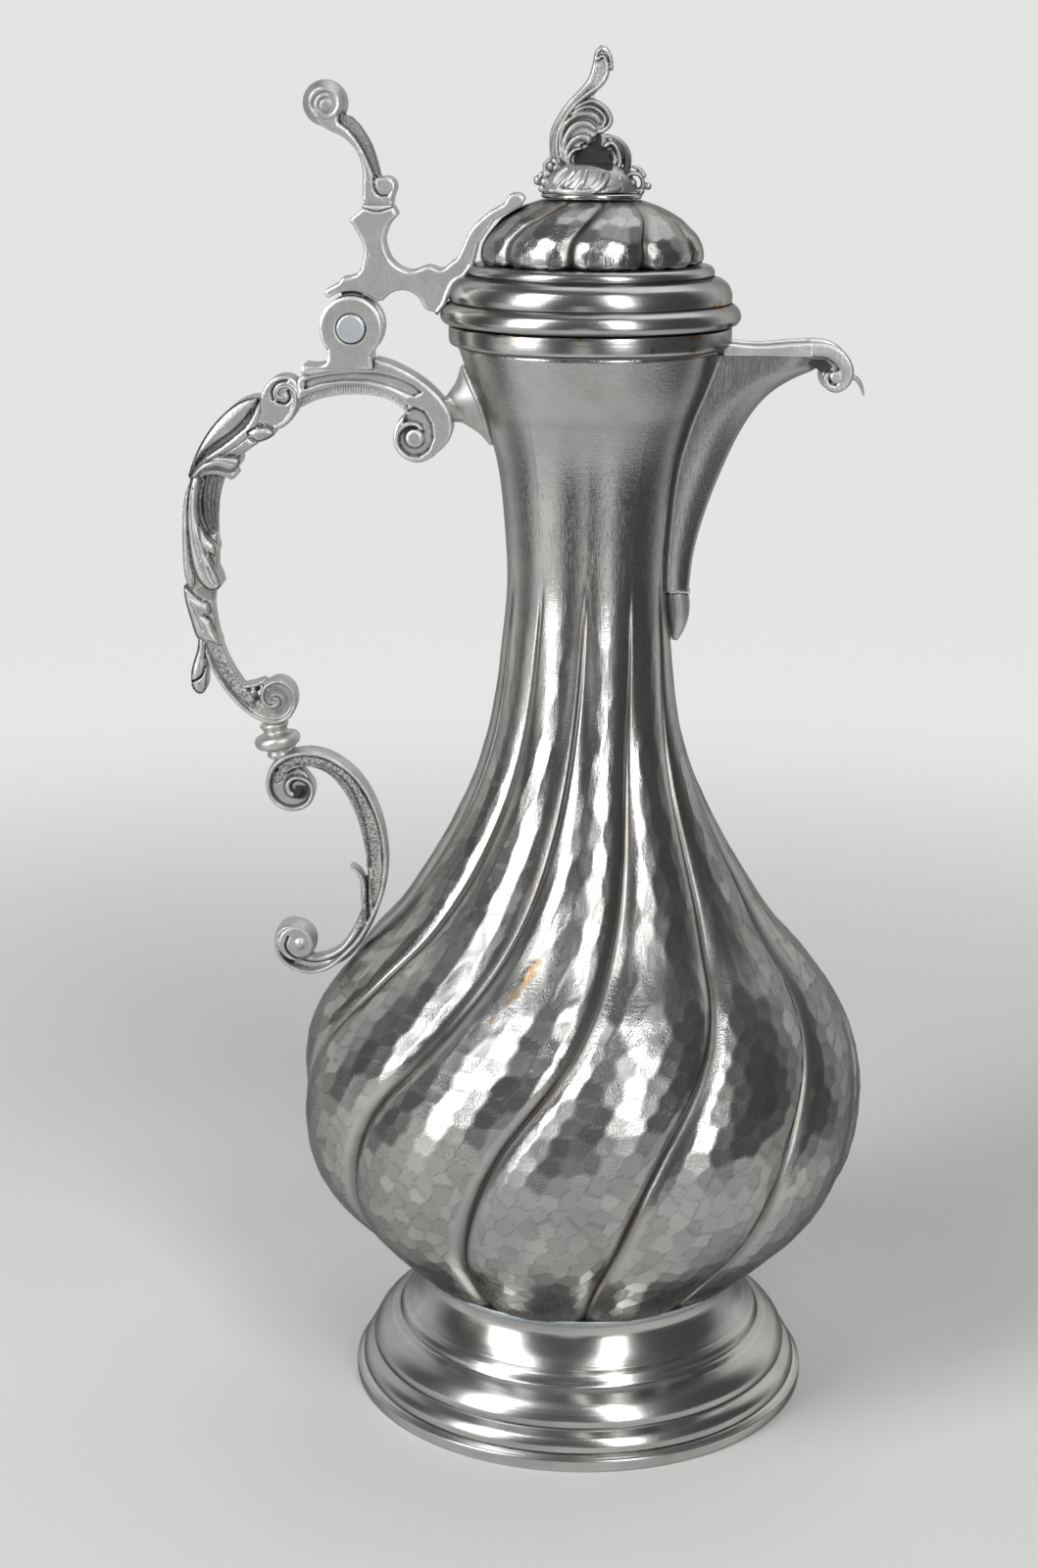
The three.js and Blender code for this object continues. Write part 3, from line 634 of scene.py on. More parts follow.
# Body: bowl, shoulder and neck
bodySizes = {
    "wall": 1.6, "shy": 0.42, "lobes": 11, "perLobe": 80, "groove": 3.0, "joints": (34.2, 86.0, 176.0, 284.7),
    "fineStep": 0.1, "innerRows": 9, "innerGap": 0.3,
    "rowStep": along([(34, 0.64), (118, 0.76), (126, 1.35), (290, 1.35)]),
}
bodyRadius = along([
    (32, 44), (44, 57), (56, 68.2), (68, 74.6), (84, 77.1), (98, 75.3), (110, 70.1), (122, 61.7), (134, 50.9),
    (146, 42.8), (158, 36), (170, 30.5), (182, 26.6), (194, 24.2), (208, 22.6), (224, 21.3), (240, 22.1),
    (254, 23.8), (266, 27.1), (275, 30.7), (286, 34.6)])
grooveTurn = along([(34, -31), (59, -26.4), (91, -16.4), (119, 0.4), (149, 14.8), (193, 27.5), (230, 33)])
grooveShare = along([(34, 0.4), (50, 1), (110, 1), (150, 0.66), (190, 0.24), (228, 0), (290, 0)])
grooveLine = along([(34, 1), (170, 1), (215, 0.6), (230, 0), (290, 0)])


# How far out the skin lies along x, at a height and a distance off to one side
def bodyDepth(z, side):
    return math.sqrt(float(bodyRadius(z)) ** 2 - side ** 2)


def bodyLine(bottom, top, step):
    heights = np.linspace(bottom, top, int((top - bottom) / bodySizes["fineStep"]))
    line = np.stack([bodyRadius(heights) - bodySizes["shy"], heights], 1)
    rows = np.r_[0, np.cumsum(np.hypot(*np.diff(line, axis=0).T) / step(heights[1:]))]
    picked = np.linspace(0, rows[-1], int(round(rows[-1])) + 1)
    return np.stack([np.interp(picked, rows, column) for column in line.T], 1)


def bodyOutline(bottom, top, step, floor=False):
    inside = np.linspace(top, bottom + (bodySizes["wall"] if floor else 0), bodySizes["innerRows"])
    lean = (bodyRadius(inside + 1) - bodyRadius(inside - 1)) / 2
    inner = np.stack([bodyRadius(inside) - bodySizes["wall"] * np.hypot(1, lean) - bodySizes["innerGap"], inside], 1)
    ends = [(0, bottom + bodySizes["wall"]), (0, bottom)] if floor else []
    outer = bodyLine(bottom, top, step)
    return [*outer, *inner, *ends], len(outer)


beaten = {
    "across": along([(34, 5.0), (110, 5.4), (150, 4.4), (230, 3.2)]),
    "down": along([(34, 4.4), (110, 4.8), (150, 6.0), (230, 8)]),
    "start": 1.5, "stray": 0.13, "tilt": 0.021, "hollow": 0.0035, "soft": 0.003, "band": 2.4, "border": 0.05,
    "bow": along([(34, 0.001), (100, 0.001), (122, 0.006), (200, 0.006), (290, 0.004)]),
    "share": along([(34, 1), (140, 1), (200, 0.55), (228, 0.12), (236, 0), (290, 0)]),
}
lobedSizes = {"lobes": bodySizes["lobes"], "turn": grooveTurn, "line": grooveLine, "Fullness": 0.8,
              "share": lambda height: bodySizes["groove"] * grooveShare(height)}
bodyNames = ("bowl", "shoulder", "neck")
bodySheets = []
for k, name in enumerate(bodyNames):
    outline, outer = bodyOutline(*bodySizes["joints"][k:k + 2], bodySizes["rowStep"], name == "bowl")
    bodySheets.append(spin(name + "_sheet", outline, sheetPewter, columns=bodySizes["lobes"] * bodySizes["perLobe"],
                           outer=outer, **lobedSizes))
hammer(bodySheets, beaten, bodyLine(bodySizes["joints"][0], bodySizes["joints"][-1], bodySizes["rowStep"]))
for sheet, name in zip(bodySheets, bodyNames):
    markHollows(sheet.data, reach=5, depth=0.12)
    finishPiece(sheet, "jug", [name])
    print("stage:", name, len(sheet.data.polygons))
matchNormals(bodySheets)


# Foot, mouth band and lid: plain spun mouldings
def moulding(name, line, nodes, body="jug", metal=spunPewter, columns=256):
    obj = spin(name, line, metal, columns=columns, Crowding=0.0)
    markHollows(obj.data, reach=6, depth=0.25)
    finishPiece(obj, body, nodes)
    return obj


footSizes = {"radius": 62.15, "top": 32.4}
moulding("foot_ring_sheet", [
    *smoothLine([(61.6, 0.05), (62.1, 0.5), (footSizes["radius"], 2.9), (61.7, 3.5), (60.8, 4.25)], 4),
    *smoothLine([(53, 4.25), (52.1, 4.1), (52.05, 0.4), (52.5, 0.05)], 3)], ["foot_ring"])
moulding("foot_sheet", [
    *smoothLine([(60.3, 4.62), (60.2, 6.2), (59.2, 7.9), (57.3, 9.2)], 6),
    *smoothLine([(56.9, 9.6), (57.3, 10.3), (57.1, 12.2), (55.2, 15), (52.1, 17.4)], 6),
    *smoothLine([(50.7, 17.8), (50, 18.3), (49.5, 19.6), (48.9, 20.6)], 4),
    *smoothLine([(47.5, 21.5), (45.3, 24), (43.7, 27), (42.8, 29.6), (42.95, footSizes["top"])], 8),
    *smoothLine([(41.3, footSizes["top"]), (41.2, 28.6), (43.2, 24.8), (46.4, 20.6), (48, 19)], 4),
    *smoothLine([(50.4, 16.8), (54.2, 13.4), (55.6, 10.6), (58.4, 6.6), (58.6, 4.62)], 4)], ["foot"])
collar = moulding("foot_collar_solder", [
    *smoothLine([(42.6, 32.2), (43.8, 32.1), (45.2, 32.9), (46.3, 34.2), (46.8, 35.2), (46.3, 35.3)], 5),
    (43.2, 34.0), (41.8, 33.4)], ["foot_collar"], metal=solderPewter)
collarPoints = readPoints(collar.data)
collarTurn = np.arctan2(collarPoints[:, 1], collarPoints[:, 0])
sway = sum(np.sin(collarTurn * k + 1.7 * k) / k for k in (3, 7, 11, 19, 31))
writePoints(collar.data, collarPoints * np.stack([1 + 0.003 * sway, 1 + 0.003 * sway, 1 + 0 * sway], 1))
moulding("mouth_band_sheet", [
    *smoothLine([(35.0, 285.05), (35.5, 285.2), (35.95, 286.2), (36, 288.6), (35.9, 289.6), (35.4, 289.98)], 4),
    *smoothLine([(33, 289.98), (32.5, 289.5), (32.45, 285.6), (32.8, 285.05)], 3)], ["mouth_band"])
lidSheet = {"seat": 290.35}
moulding("lid_rim_sheet", [
    *smoothLine([(36.4, lidSheet["seat"]), (37.3, 290.6), (38.1, 291.7), (38.15, 292.7), (37.6, 294.2),
                 (36.4, 295.3)], 6),
    *smoothLine([(35.6, 295.8), (35.85, 296.5), (35.8, 298.1), (34.9, 300.2), (33.2, 301.6), (31.6, 302.1)], 6),
    *smoothLine([(31.0, 302.4), (31.35, 303.0), (31.2, 303.9), (30.4, 304.8), (29.4, 305.05)], 5),
    *smoothLine([(26.6, 305.05), (26.2, 304.6), (29.2, 301.6), (32.3, 299), (33.9, 296.4), (34.2, 294.6)], 4),
    *smoothLine([(35.6, 293.6), (36.3, 292.2), (36, lidSheet["seat"])], 3)], ["lid_rim"], "lid")
moulding("lid_flange_sheet", [
    (31.9, 285.6), (32, 286), (32, 290.7), (33.1, 291.4), (33.1, 293.9), (31, 293.9), (30.9, 285.9), (31.1, 285.55)],
    ["lid_flange"], "lid")
domeSizes = {"lobes": 9, "perLobe": 44, "groove": 1.3}
domeTurn = along([(305, -10.5), (312, -9.5), (318, 3), (321.6, 17)])
domeShare = along([(305, 1.5), (307.6, 1.1), (312, 0.95), (318, 0.8), (321.6, 0.3)])
domeLine = respaced(smoothLine([(27.4, 305.35), (28.2, 306.6), (28.1, 308.6), (27.2, 311.2), (25.2, 313.8),
                                (22.4, 316.4), (19.4, 318.2), (16, 319.8), (12.9, 320.9)], 8), 0.45)
dome = spin("lid_dome_sheet", [*domeLine, (0, 320.95), (0, 319.3), (11.6, 318.8), (18, 316), (23.2, 312.2),
                               (25.8, 308), (25.4, 305.35)], sheetPewter,
            columns=domeSizes["lobes"] * domeSizes["perLobe"], lobes=domeSizes["lobes"], turn=domeTurn,
            share=lambda height: domeSizes["groove"] * domeShare(height), line=along([(305, 1), (322, 1)]),
            outer=len(domeLine), Fullness=0.7)
hammer([dome], {"across": along([(300, 4.4), (322, 4)]), "down": along([(300, 4), (322, 4.2)]), "start": 2.0,
                "stray": 0.17, "tilt": 0.02, "hollow": 0.002, "soft": 0.004, "band": 0.6, "border": 0.06,
                "bow": along([(305, 0.002), (322, 0.002)]),
                "share": along([(305, 1), (319, 0.7), (321, 0)])}, domeLine)
markHollows(dome.data, reach=5, depth=0.12)
finishPiece(dome, "lid", ["lid_dome"])
print("stage: foot and lid")


# Cast pieces: plates, strands and rolls are fused into one skin, and its flat faces are carved.
# A strand follows a path of (x, z, thickness, width across, y); its section lies between round and square.
def growStrandTree():
    graph, take = startTree("cast_strand", [
        ("Path", "Geometry", None), ("Sides", "Int", 14), ("Blunt", "Float", 0.8), ("Metal", "Material", None)])
    grid, around, (x, y, z), carried = rowGrid(graph, take["Path"], take["Sides"])
    angle = around * (2 * math.pi)

    def blunted(value):
        return value.maths("SIGN") * value.maths("ABSOLUTE") ** take["Blunt"]

    across, out = blunted(angle.maths("COSINE")), blunted(angle.maths("SINE"))
    place = graph.make("ShaderNodeCombineXYZ", None, {
        0: x + across * carried("sideX"), 1: y + out * carried("deep"), 2: z + across * carried("sideZ")})
    shape = graph.make("GeometryNodeSetPosition", None, {"Geometry": grid, "Position": place})
    shape = graph.make("GeometryNodeMergeByDistance", None, {"Geometry": shape, "Distance": weld})
    return endTree(graph, shape, take["Metal"])


strandTree = growStrandTree()


def strand(points, thick=None, deep=None, y=0.0, blunt=0.8, perSpan=6, sides=14):
    rows = [(*point[:2], *(point[2:3] or (thick,)), *(point[3:4] or (deep,)), *(point[4:5] or (y,)))
            for point in points]
    line = smoothLine(rows, perSpan)
    run = np.gradient(line[:, :2], axis=0)
    run /= np.maximum(np.hypot(*run.T), 1e-6)[:, None]
    tips = []
    for end, way in ((0, -1), (-1, 1)):
        for share, reach in ((0.75, 0.32), (0, 0.46)):
            tip = line[end].copy()
            tip[:2] += way * run[end] * tip[2] * reach
            tip[2:4] *= share
            tips.append(tip)
    line = np.vstack([tips[1], tips[0], line, tips[2], tips[3]])
    run = np.vstack([run[:1], run[:1], run, run[-1:], run[-1:]])
    mesh = bpy.data.meshes.new("path")
    mesh.from_pydata(line[:, [0, 4, 1]] * mm, [], [])
    storeValues(mesh, "sideX", -run[:, 1] * line[:, 2] / 2 * mm)
    storeValues(mesh, "sideZ", run[:, 0] * line[:, 2] / 2 * mm)
    storeValues(mesh, "deep", line[:, 3] / 2 * mm)
    obj = newObject("strand", mesh)
    grow(obj, strandTree, {"Sides": sides, "Blunt": blunt, "Metal": castPewter})
    return obj


def pair(points, y, **more):
    return [strand(points, y=side * y, **more) for side in (-1, 1)]


def mirrored(points, **more):
    return [strand(points, **more), strand([(*point[:4], -point[4]) for point in points], **more)]


def plate(outline, near, far=None):
    count = len(outline)
    levels = (-near, near if far is None else far)
    points = [(x * mm, y * mm, z * mm) for y in levels for x, z in outline]
    faces = [list(range(count)), list(range(2 * count - 1, count - 1, -1))]
    faces += [(k, k + count, (k + 1) % count + count, (k + 1) % count) for k in range(count)]
    mesh = bpy.data.meshes.new("plate")
    mesh.from_pydata(points, [], faces)
    return newObject("plate", mesh)


def roll(x, z, radius, half, bulge=0.0, y=0.0, edge=0.4, columns=64):
    outline = smoothLine([(radius - edge, -half), (radius - 0.3 * edge, 0.3 * edge - half), (radius, edge - half),
                          (radius + 0.75 * bulge, -half / 2), (radius + bulge, 0),
                          (radius + 0.75 * bulge, half / 2), (radius, half - edge),
                          (radius - 0.3 * edge, half - 0.3 * edge), (radius - edge, half)], 3)
    obj = spin("roll", [*outline, (0, half), (0, -half)], castPewter, columns=columns, Crowding=0.0)
    points = readPoints(obj.data)
    writePoints(obj.data, points[:, [0, 2, 1]] + np.array([x, y, z]) * mm)
    obj.data.flip_normals()
    return obj


def ball(x, z, radius, y=0.0, squash=1.0):
    angles = np.linspace(0, math.pi, 13)
    turned = np.stack([radius * np.sin(angles), -radius * np.cos(angles)], 1)
    obj = spin("ball", turned, castPewter, columns=16, Crowding=0.0)
    writePoints(obj.data, readPoints(obj.data) * (1, squash, 1) + np.array([x, y, z]) * mm)
    return obj


def arc(x, z, radius, turns, angle, steps):
    count = int(abs(turns) * steps) + 1
    return [(x + radius * math.cos(math.radians(angle) + 2 * math.pi * turns * t),
             z + radius * math.sin(math.radians(angle) + 2 * math.pi * turns * t))
            for t in np.linspace(0, 1, count)]


def relax(mesh, rounds, strength=0.55, swell=0.02):
    # each round smooths and then swells back, so the shape keeps its size
    points, spread = readPoints(mesh), ringSteps(mesh)
    for _ in range(rounds):
        points += strength * (spread(points) - points)
        points -= (strength + swell) * (spread(points) - points)
    writePoints(mesh, points)


def fuse(name, parts, voxel=0.27, rounds=3):
    whole = bmesh.new()
    for part in parts:
        whole.from_mesh(part.data)
        bpy.data.objects.remove(part)
    mesh = bpy.data.meshes.new(name)
    whole.to_mesh(mesh)
    whole.free()
    obj = newObject(name, mesh)
    skin = obj.modifiers.new("skin", "REMESH")
    skin.mode = "VOXEL"
    skin.voxel_size = voxel * mm
    mesh = bake(obj)
    relax(mesh, rounds)
    mesh.materials.clear()
    mesh.materials.append(castPewter)
    return obj


# Marks on the near and far faces, each a height in mm for points (x, z)
def toLine(points, line):
    starts, runs = line[:-1], np.diff(line, axis=0)
    reach = np.r_[0, np.cumsum(np.hypot(*runs.T))]
    gaps, spots = np.full(len(points), 1e3), np.zeros(len(points))
    for start, run, before in zip(starts, runs, reach):
        length = max(math.hypot(*run), 1e-6)
        t = np.clip((points - start) @ run / length ** 2, 0, 1)
        gap = np.hypot(*(points - start - t[:, None] * run).T)
        closer = gap < gaps
        gaps[closer] = gap[closer]
        spots[closer] = (before + t * length)[closer] / reach[-1]
    return gaps, spots


def cut(points, width, height, widths=(1, 1)):
    line = smoothLine(points, 5)

    def rise(flat):
        level = np.zeros(len(flat))
        near = ((flat > line.min(0) - width) & (flat < line.max(0) + width)).all(1)
        gaps, spots = toLine(flat[near], line)
        here = width * np.maximum(np.interp(spots, np.linspace(0, 1, len(widths)), widths), 0.05)
        level[near] = height * (0.5 + 0.5 * np.cos(math.pi * np.clip(gaps / here, 0, 1)))
        return level
    return rise


def depthInside(flat, outline):
    ring = np.array([*outline, outline[0]], float)
    x, z = flat.T
    odd = np.zeros(len(flat), bool)
    for (x0, z0), (x1, z1) in zip(ring, ring[1:]):
        if z0 != z1:
            odd ^= ((z0 > z) != (z1 > z)) & (x < (x1 - x0) * (z - z0) / (z1 - z0) + x0)
    return np.where(odd, 1, -1) * toLine(flat, ring)[0]


def pressed(outline, height, edge=0.5):
    def rise(flat):
        share = np.clip(depthInside(flat, outline) / edge + 0.5, 0, 1)
        return height * share ** 2 * (3 - 2 * share)
    return rise


def crowned(outline, edge, drop):
    def rise(flat):
        share = 1 - np.clip(depthInside(flat, outline) / edge, 0, 1)
        return drop * (np.sqrt(np.maximum(1 - share ** 2, 0)) - 1)
    return rise


# A third value in an outline's point keeps the corner there
def rounded(points):
    corners = [k for k, point in enumerate(points) if len(point) > 2] or [0]
    turned = [point[:2] for point in points[corners[0]:] + points[:corners[0]]]
    stops = [k - corners[0] for k in corners] + [len(points)]
    turned.append(turned[0])
    return [tuple(spot) for start, stop in zip(stops, stops[1:])
            for spot in smoothLine(turned[start:stop + 1], 4)[:-1]]


def carve(obj, marks, faceFrom=0.3, faceSpan=0.5):
    mesh = obj.data
    points, facing = readPoints(mesh), readPoints(mesh, "normals")[:, 1]
    flat = points[:, [0, 2]] / mm
    face = np.flatnonzero(np.abs(facing) > faceFrom)
    height = sum(mark(flat[face]) for mark in marks)
    weight = np.clip((np.abs(facing[face]) - faceFrom) / faceSpan, 0, 1)
    points[face, 1] += np.sign(facing[face]) * weight * height * mm
    writePoints(mesh, points)


def finishCast(obj, nodes, body="jug", depth=0.16, reach=8, shadeAndStipple=(), shadeEdge=0.6):
    markHollows(obj.data, reach, depth)
    flat, hollow = readPoints(obj.data)[:, [0, 2]] / mm, readValues(obj.data, "hollow")
    ground = hollow * 0
    # Painted shade: inside each outline the metal is darkened as if in shadow, and where punched is given, the ground
    # is also stippled.
    for outline, patinaAndShade, punched in shadeAndStipple:
        inside = np.clip(depthInside(flat, outline) / shadeEdge + 0.3, 0, 1)
        hollow, ground = np.maximum(hollow, patinaAndShade * inside), np.maximum(ground, punched * inside)
    storeValues(obj.data, "hollow", hollow)
    storeValues(obj.data, "ground", ground * (hollow > 0.1))
    finishPiece(obj, body, nodes, sharp=180)
    print("stage:", obj.name, len(obj.data.polygons))


# Lower scroll of the handle
lower = {"ground": 5.4, "rim": 8.2, "innerRim": 7.2, "rimThick": 1.55, "foot": 9.6}
lowerRim = [
    (-75.4, 167.1, 1.4), (-76.5, 165.9, 1.6), (-78.3, 166.3, 1.9), (-79, 168.3, 1.8), (-77.8, 170.2, 1.4),
    (-75.5, 170.5), (-73.1, 169.1), (-72.5, 166.3), (-74, 163.2), (-77.6, 161.9), (-81.2, 162.9),
    (-83.7, 166), (-84, 170), (-82.3, 173.7), (-79, 176.2), (-74.5, 177.2), (-70, 176.8), (-65.6, 174.8),
    (-61.1, 171.2), (-57.5, 166), (-55, 160), (-53.6, 154), (-53.1, 148), (-53.6, 142), (-55, 136.4),
    (-57.4, 131), (-60.5, 125.5), (-64.6, 121), (-69, 117.6), (-73.6, 116.4), (-78, 117.4), (-81.3, 120),
    (-82.6, 123.6), (-82, 127.2), (-79.4, 129), (-76.3, 128.4), (-74.4, 126.2), (-74.4, 123.6), (-76.2, 122.6)]
lowerInner = [(-79.6, 172), (-77, 173.4), (-74, 173.9), (-70, 173.6), (-66, 171.4), (-62.6, 167.7), (-60.3, 162.5),
              (-58.8, 157), (-58, 151), (-57.8, 146)]
lowerGround = [
    (-80.9, 172.6, 3.4), (-77.6, 175, 3.6), (-74.6, 175.4, 3.6), (-67.6, 173.2, 4), (-62.2, 167.6, 4.6),
    (-58.4, 159.8, 5), (-56.2, 151, 5.2), (-55.6, 144, 5), (-56.8, 136, 4.6), (-59.9, 128, 4.2), (-64.8, 121.2, 4),
    (-71.6, 118.4, 4), (-77.6, 119.4, 4)]
lowerPiece = fuse("handle_lower_cast", [
    strand(lowerGround, deep=lower["ground"], blunt=0.5),
    roll(-78.2, 167.4, 5.9, lower["ground"] / 2, edge=0.2), roll(-77.4, 124.5, 4.6, 5.0, 0.9),
    strand([(*point[:2], *(point[2:] or (lower["rimThick"],)), lower["rim"] if k < 28 else lower["foot"])
            for k, point in enumerate(lowerRim)], blunt=0.7),
    strand(lowerInner, 0.9, lower["innerRim"], blunt=0.7),
    strand([(-58.4, 130, 1.6, 7), (-58.9, 136, 2, 7.6), (-59.1, 140.6, 1.9, 7), (-60.2, 143.8, 1.4, 6.4),
            (-62.2, 145.6, 1, 5.6)]),
    strand([(-57, 132, 1.2), (-57.3, 138, 1.2), (-57.2, 142.6, 1)], deep=7.2),
    strand([(-81.8, 176.6, 1.6, 6), (-79.4, 177.6, 1.8, 6.4), (-77.6, 178.8, 1.6, 6)]),
    ball(-76.2, 124.7, 1.7, -4.3, 0.9), ball(-76.2, 124.7, 1.7, 4.3, 0.9)])
carve(lowerPiece, [
    cut([(-58.2, 131), (-58.1, 137), (-58.3, 141.6)], 0.45, -0.6),
    cut([(-79.4, 126.6), (-80.2, 124), (-79, 121.4), (-76.4, 120.4), (-74, 121)], 0.55, -0.7),
    cut([(-59.6, 128.6), (-64.6, 121.9), (-71, 118.9), (-76.5, 119.6), (-79.4, 122.4)], 0.6, -0.35)])
# Painted shade: the ground beside the rim, which is also stippled, and the centre of the upper scroll are darkened as
# if in shadow.
finishCast(lowerPiece, ["handle_lower"], shadeAndStipple=[
    (rounded([(-84, 168), (-82, 173), (-77, 176.4), (-71, 176), (-65, 173.6), (-60.4, 169.4), (-57, 163), (-55, 155),
              (-54.6, 147), (-55.6, 138), (-58, 131), (-62, 127), (-60, 134), (-58.6, 141), (-58.6, 150), (-60, 158),
              (-63, 165), (-68, 170.4), (-73, 172.4), (-76, 171.6), (-80, 169)]), 0.2, 0.9),
    (rounded([(-77, 168.6), (-73.6, 168.4), (-73.4, 166), (-75, 164.4), (-77.6, 165)]), 0.7, 0)])

# Knop between the two scrolls, leaning a little
knopLine = smoothLine([(3.0, -5.2), (3.5, -4.4), (3.2, -3.2), (4.2, -2.7), (5.6, -2.0), (6.15, -0.5), (5.5, 0.7),
                       (3.9, 1.3), (3.2, 1.9), (3.4, 2.8), (3.9, 3.6), (3.4, 4.3)], 5)
knop = spin("handle_knop_cast", [*knopLine, (0, 4.4), (0, -5.2)], castPewter, columns=72, Crowding=0.0)
lean = Matrix.Rotation(-0.18, 3, "Y")
writePoints(knop.data, readPoints(knop.data) @ np.array(lean).T + np.array((-81.9, 0, 180.8)) * mm)
finishCast(knop, ["handle_knop"], depth=0.5)


# Leaves lie over one another like scales: each has an outline, a half thickness, and a crown over its border
def overlaid(leaves):
    def rise(flat):
        height, top = np.zeros(len(flat)), np.zeros(len(flat))
        for outline, half, crown, edge in leaves:
            ring = np.array(outline)
            near = np.flatnonzero(((flat > ring.min(0) - 0.3) & (flat < ring.max(0) + 0.3)).all(1))
            inside = depthInside(flat[near], outline)
            here = (inside > -0.15) & (half >= top[near])
            share = 1 - np.clip(inside[here] / edge, 0, 1)
            height[near[here]] = crown * (np.sqrt(1 - 0.96 * share ** 2) - 1)
            top[near[here]] = half
        return height
    return rise


# Grip: a stem under overlapping leaves, with a smooth shell at the shoulder and scrolls at both ends
grip = {"low": 6.2, "rim": 8.8}
gripStem = [
    (-77.6, 272.6, 5.5, 6), (-80.6, 268, 7.5, 6), (-86, 264, 9, 6), (-92.4, 259.2, 9, 6), (-97, 252.6, 8, 6),
    (-98.6, 246, 6.6, 5.6), (-99.4, 239, 7, 5.6), (-99.6, 232, 7.6, 6), (-99.9, 225, 7.4, 6.4), (-100.2, 217, 6, 6.4),
    (-98.6, 208.4, 5.2, grip["low"]), (-96, 201, 5, grip["low"]), (-92, 194.3, 5, grip["low"]),
    (-87.4, 189.4, 5, grip["low"]), (-82.6, 188, 4, grip["low"])]
gripRim = [
    (-100.3, 208), (-98.6, 201.8), (-95.2, 195.4), (-91.2, 190.5), (-87, 187.2), (-82.4, 185.8), (-78.5, 187.2),
    (-76.7, 190.8), (-77.5, 194.8), (-80.8, 196.8), (-84.2, 195.4), (-85.2, 192.5), (-84.1, 190.4, 1.3),
    (-82.4, 190, 1.5), (-81, 190.9, 1.6), (-81.3, 192.1, 1.6), (-82.3, 192.2, 1.3)]
gripLeaves = [(rounded(outline), half, crown, edge) for outline, half, crown, edge in [
    # plate of the shoulder scroll, the smooth shell, and the leaf between them with its bright lobe
    ([(-83.9, 271.5), (-82.6, 274.2), (-80.4, 276.2), (-77.4, 276.8), (-74.9, 275.6), (-73.6, 272.6), (-73.9, 269.4),
      (-75.6, 266.2), (-78, 264.2), (-80.4, 263.2, 1), (-82.2, 264.2), (-84, 264.6), (-86.2, 263.8, 1),
      (-84.6, 267.4)],
     4.6, 0.7, 0.9),
    ([(-84.4, 271.3, 1), (-86.8, 271.1), (-90.2, 269.6), (-94.2, 266.3), (-97.7, 262.1), (-100.4, 257.5),
      (-102.1, 253.4), (-103, 250.4, 1), (-100.6, 254.9), (-98.4, 257.3), (-95.2, 259.6), (-91.4, 262.3),
      (-88.2, 265.2), (-86, 268)],
     5.9, 1.5, 4.2),
    ([(-102.6, 250.9, 1), (-100.4, 253.9), (-97.8, 256.2), (-94, 258.8), (-90, 261.9), (-87.2, 264.6),
      (-84.2, 270.2, 1), (-84, 267), (-86, 262.6), (-89.2, 259.6), (-94, 256.6), (-99, 254)], 5.2, 1.0, 1.0),
    ([(-101.9, 251.9, 1), (-99.4, 254.4), (-96, 257), (-92, 259.7), (-88.4, 262.4, 1), (-86.8, 260.6),
      (-85.4, 259.7, 1), (-86.7, 258.3), (-89, 257), (-91.4, 256.2), (-95, 255.2), (-99, 253.4)], 4.7, 0.8, 1.5),
    ([(-87.6, 262.2, 1), (-86, 263.4), (-84, 263.8), (-82.4, 264), (-80.8, 263, 1), (-80.4, 261.9), (-82.8, 260.4),
      (-85.4, 260.1)], 5.6, 1.6, 2.0),
    ([(-102.5, 250.2, 1), (-101, 252.6), (-98.8, 254.6), (-96, 255.9), (-93, 256.3), (-90.9, 256.3),
      (-89.3, 255.4, 1), (-89.8, 253.6), (-91.4, 252.4, 1), (-92.8, 252.5), (-94.6, 253.2), (-96.6, 253.2),
      (-98.8, 252.5), (-100.6, 251)],
     5.9, 1.7, 1.9),
    ([(-99.8, 251.9), (-97.4, 252.8), (-94.8, 252.9), (-92.4, 252.3), (-91, 252.5), (-90.4, 251, 1), (-91.8, 250.1),
      (-93.4, 250.9), (-95.2, 251.4), (-97.4, 251.6)], 4.9, 0.9, 1.0),
    # long leaf with an outer band and two tips
    ([(-102.2, 250.4, 1), (-104, 246), (-104.8, 240), (-105, 233), (-104.9, 227), (-104.3, 223.6), (-103, 221.4, 1),
      (-102.2, 224.2), (-102.7, 228), (-103, 233), (-103.2, 240), (-102.9, 246)], 4.4, 1.2, 1.2),
    ([(-102, 250.6), (-100.4, 250.9, 1), (-99.8, 249.2), (-100.5, 245), (-100.5, 240.5), (-99.5, 237), (-98, 234.9),
      (-96.5, 233.4), (-96.1, 231.4), (-96.8, 229.7, 1), (-98, 231), (-97.1, 227.8), (-95.7, 224.6),
      (-95.1, 222.3, 1), (-96.6, 221.1), (-98.8, 221.4), (-100.9, 223.6), (-102.4, 227), (-103.1, 231), (-103.5, 236),
      (-103.6, 241), (-103.1, 246)], 5.7, 1.9, 2.6),
    # lower leaf that ends in a straight cut, and the hanging curl
    ([(-105, 222.6, 1), (-104.7, 218.6), (-103.5, 213.8), (-102.4, 209.8), (-101.6, 208.2, 1), (-99.8, 207.6),
      (-97.9, 207), (-95.8, 206.2, 1), (-96.4, 208.2), (-97.4, 210.6), (-98.2, 213, 1), (-99.9, 214.4, 1),
      (-98.3, 214.6, 1), (-98.4, 216.4), (-99, 217.6), (-100.8, 218.4), (-102.6, 219.8)], 4.9, 1.5, 2.2),
    ([(-101.7, 208.6, 1), (-102.1, 205), (-103.2, 201.6), (-103.9, 198.4), (-103.8, 195.2), (-102.4, 193.3),
      (-100.7, 193.4), (-99.8, 195.4), (-99.7, 199), (-100, 203), (-99.6, 207.2, 1)], 3.4, 1.4, 1.8),
]]
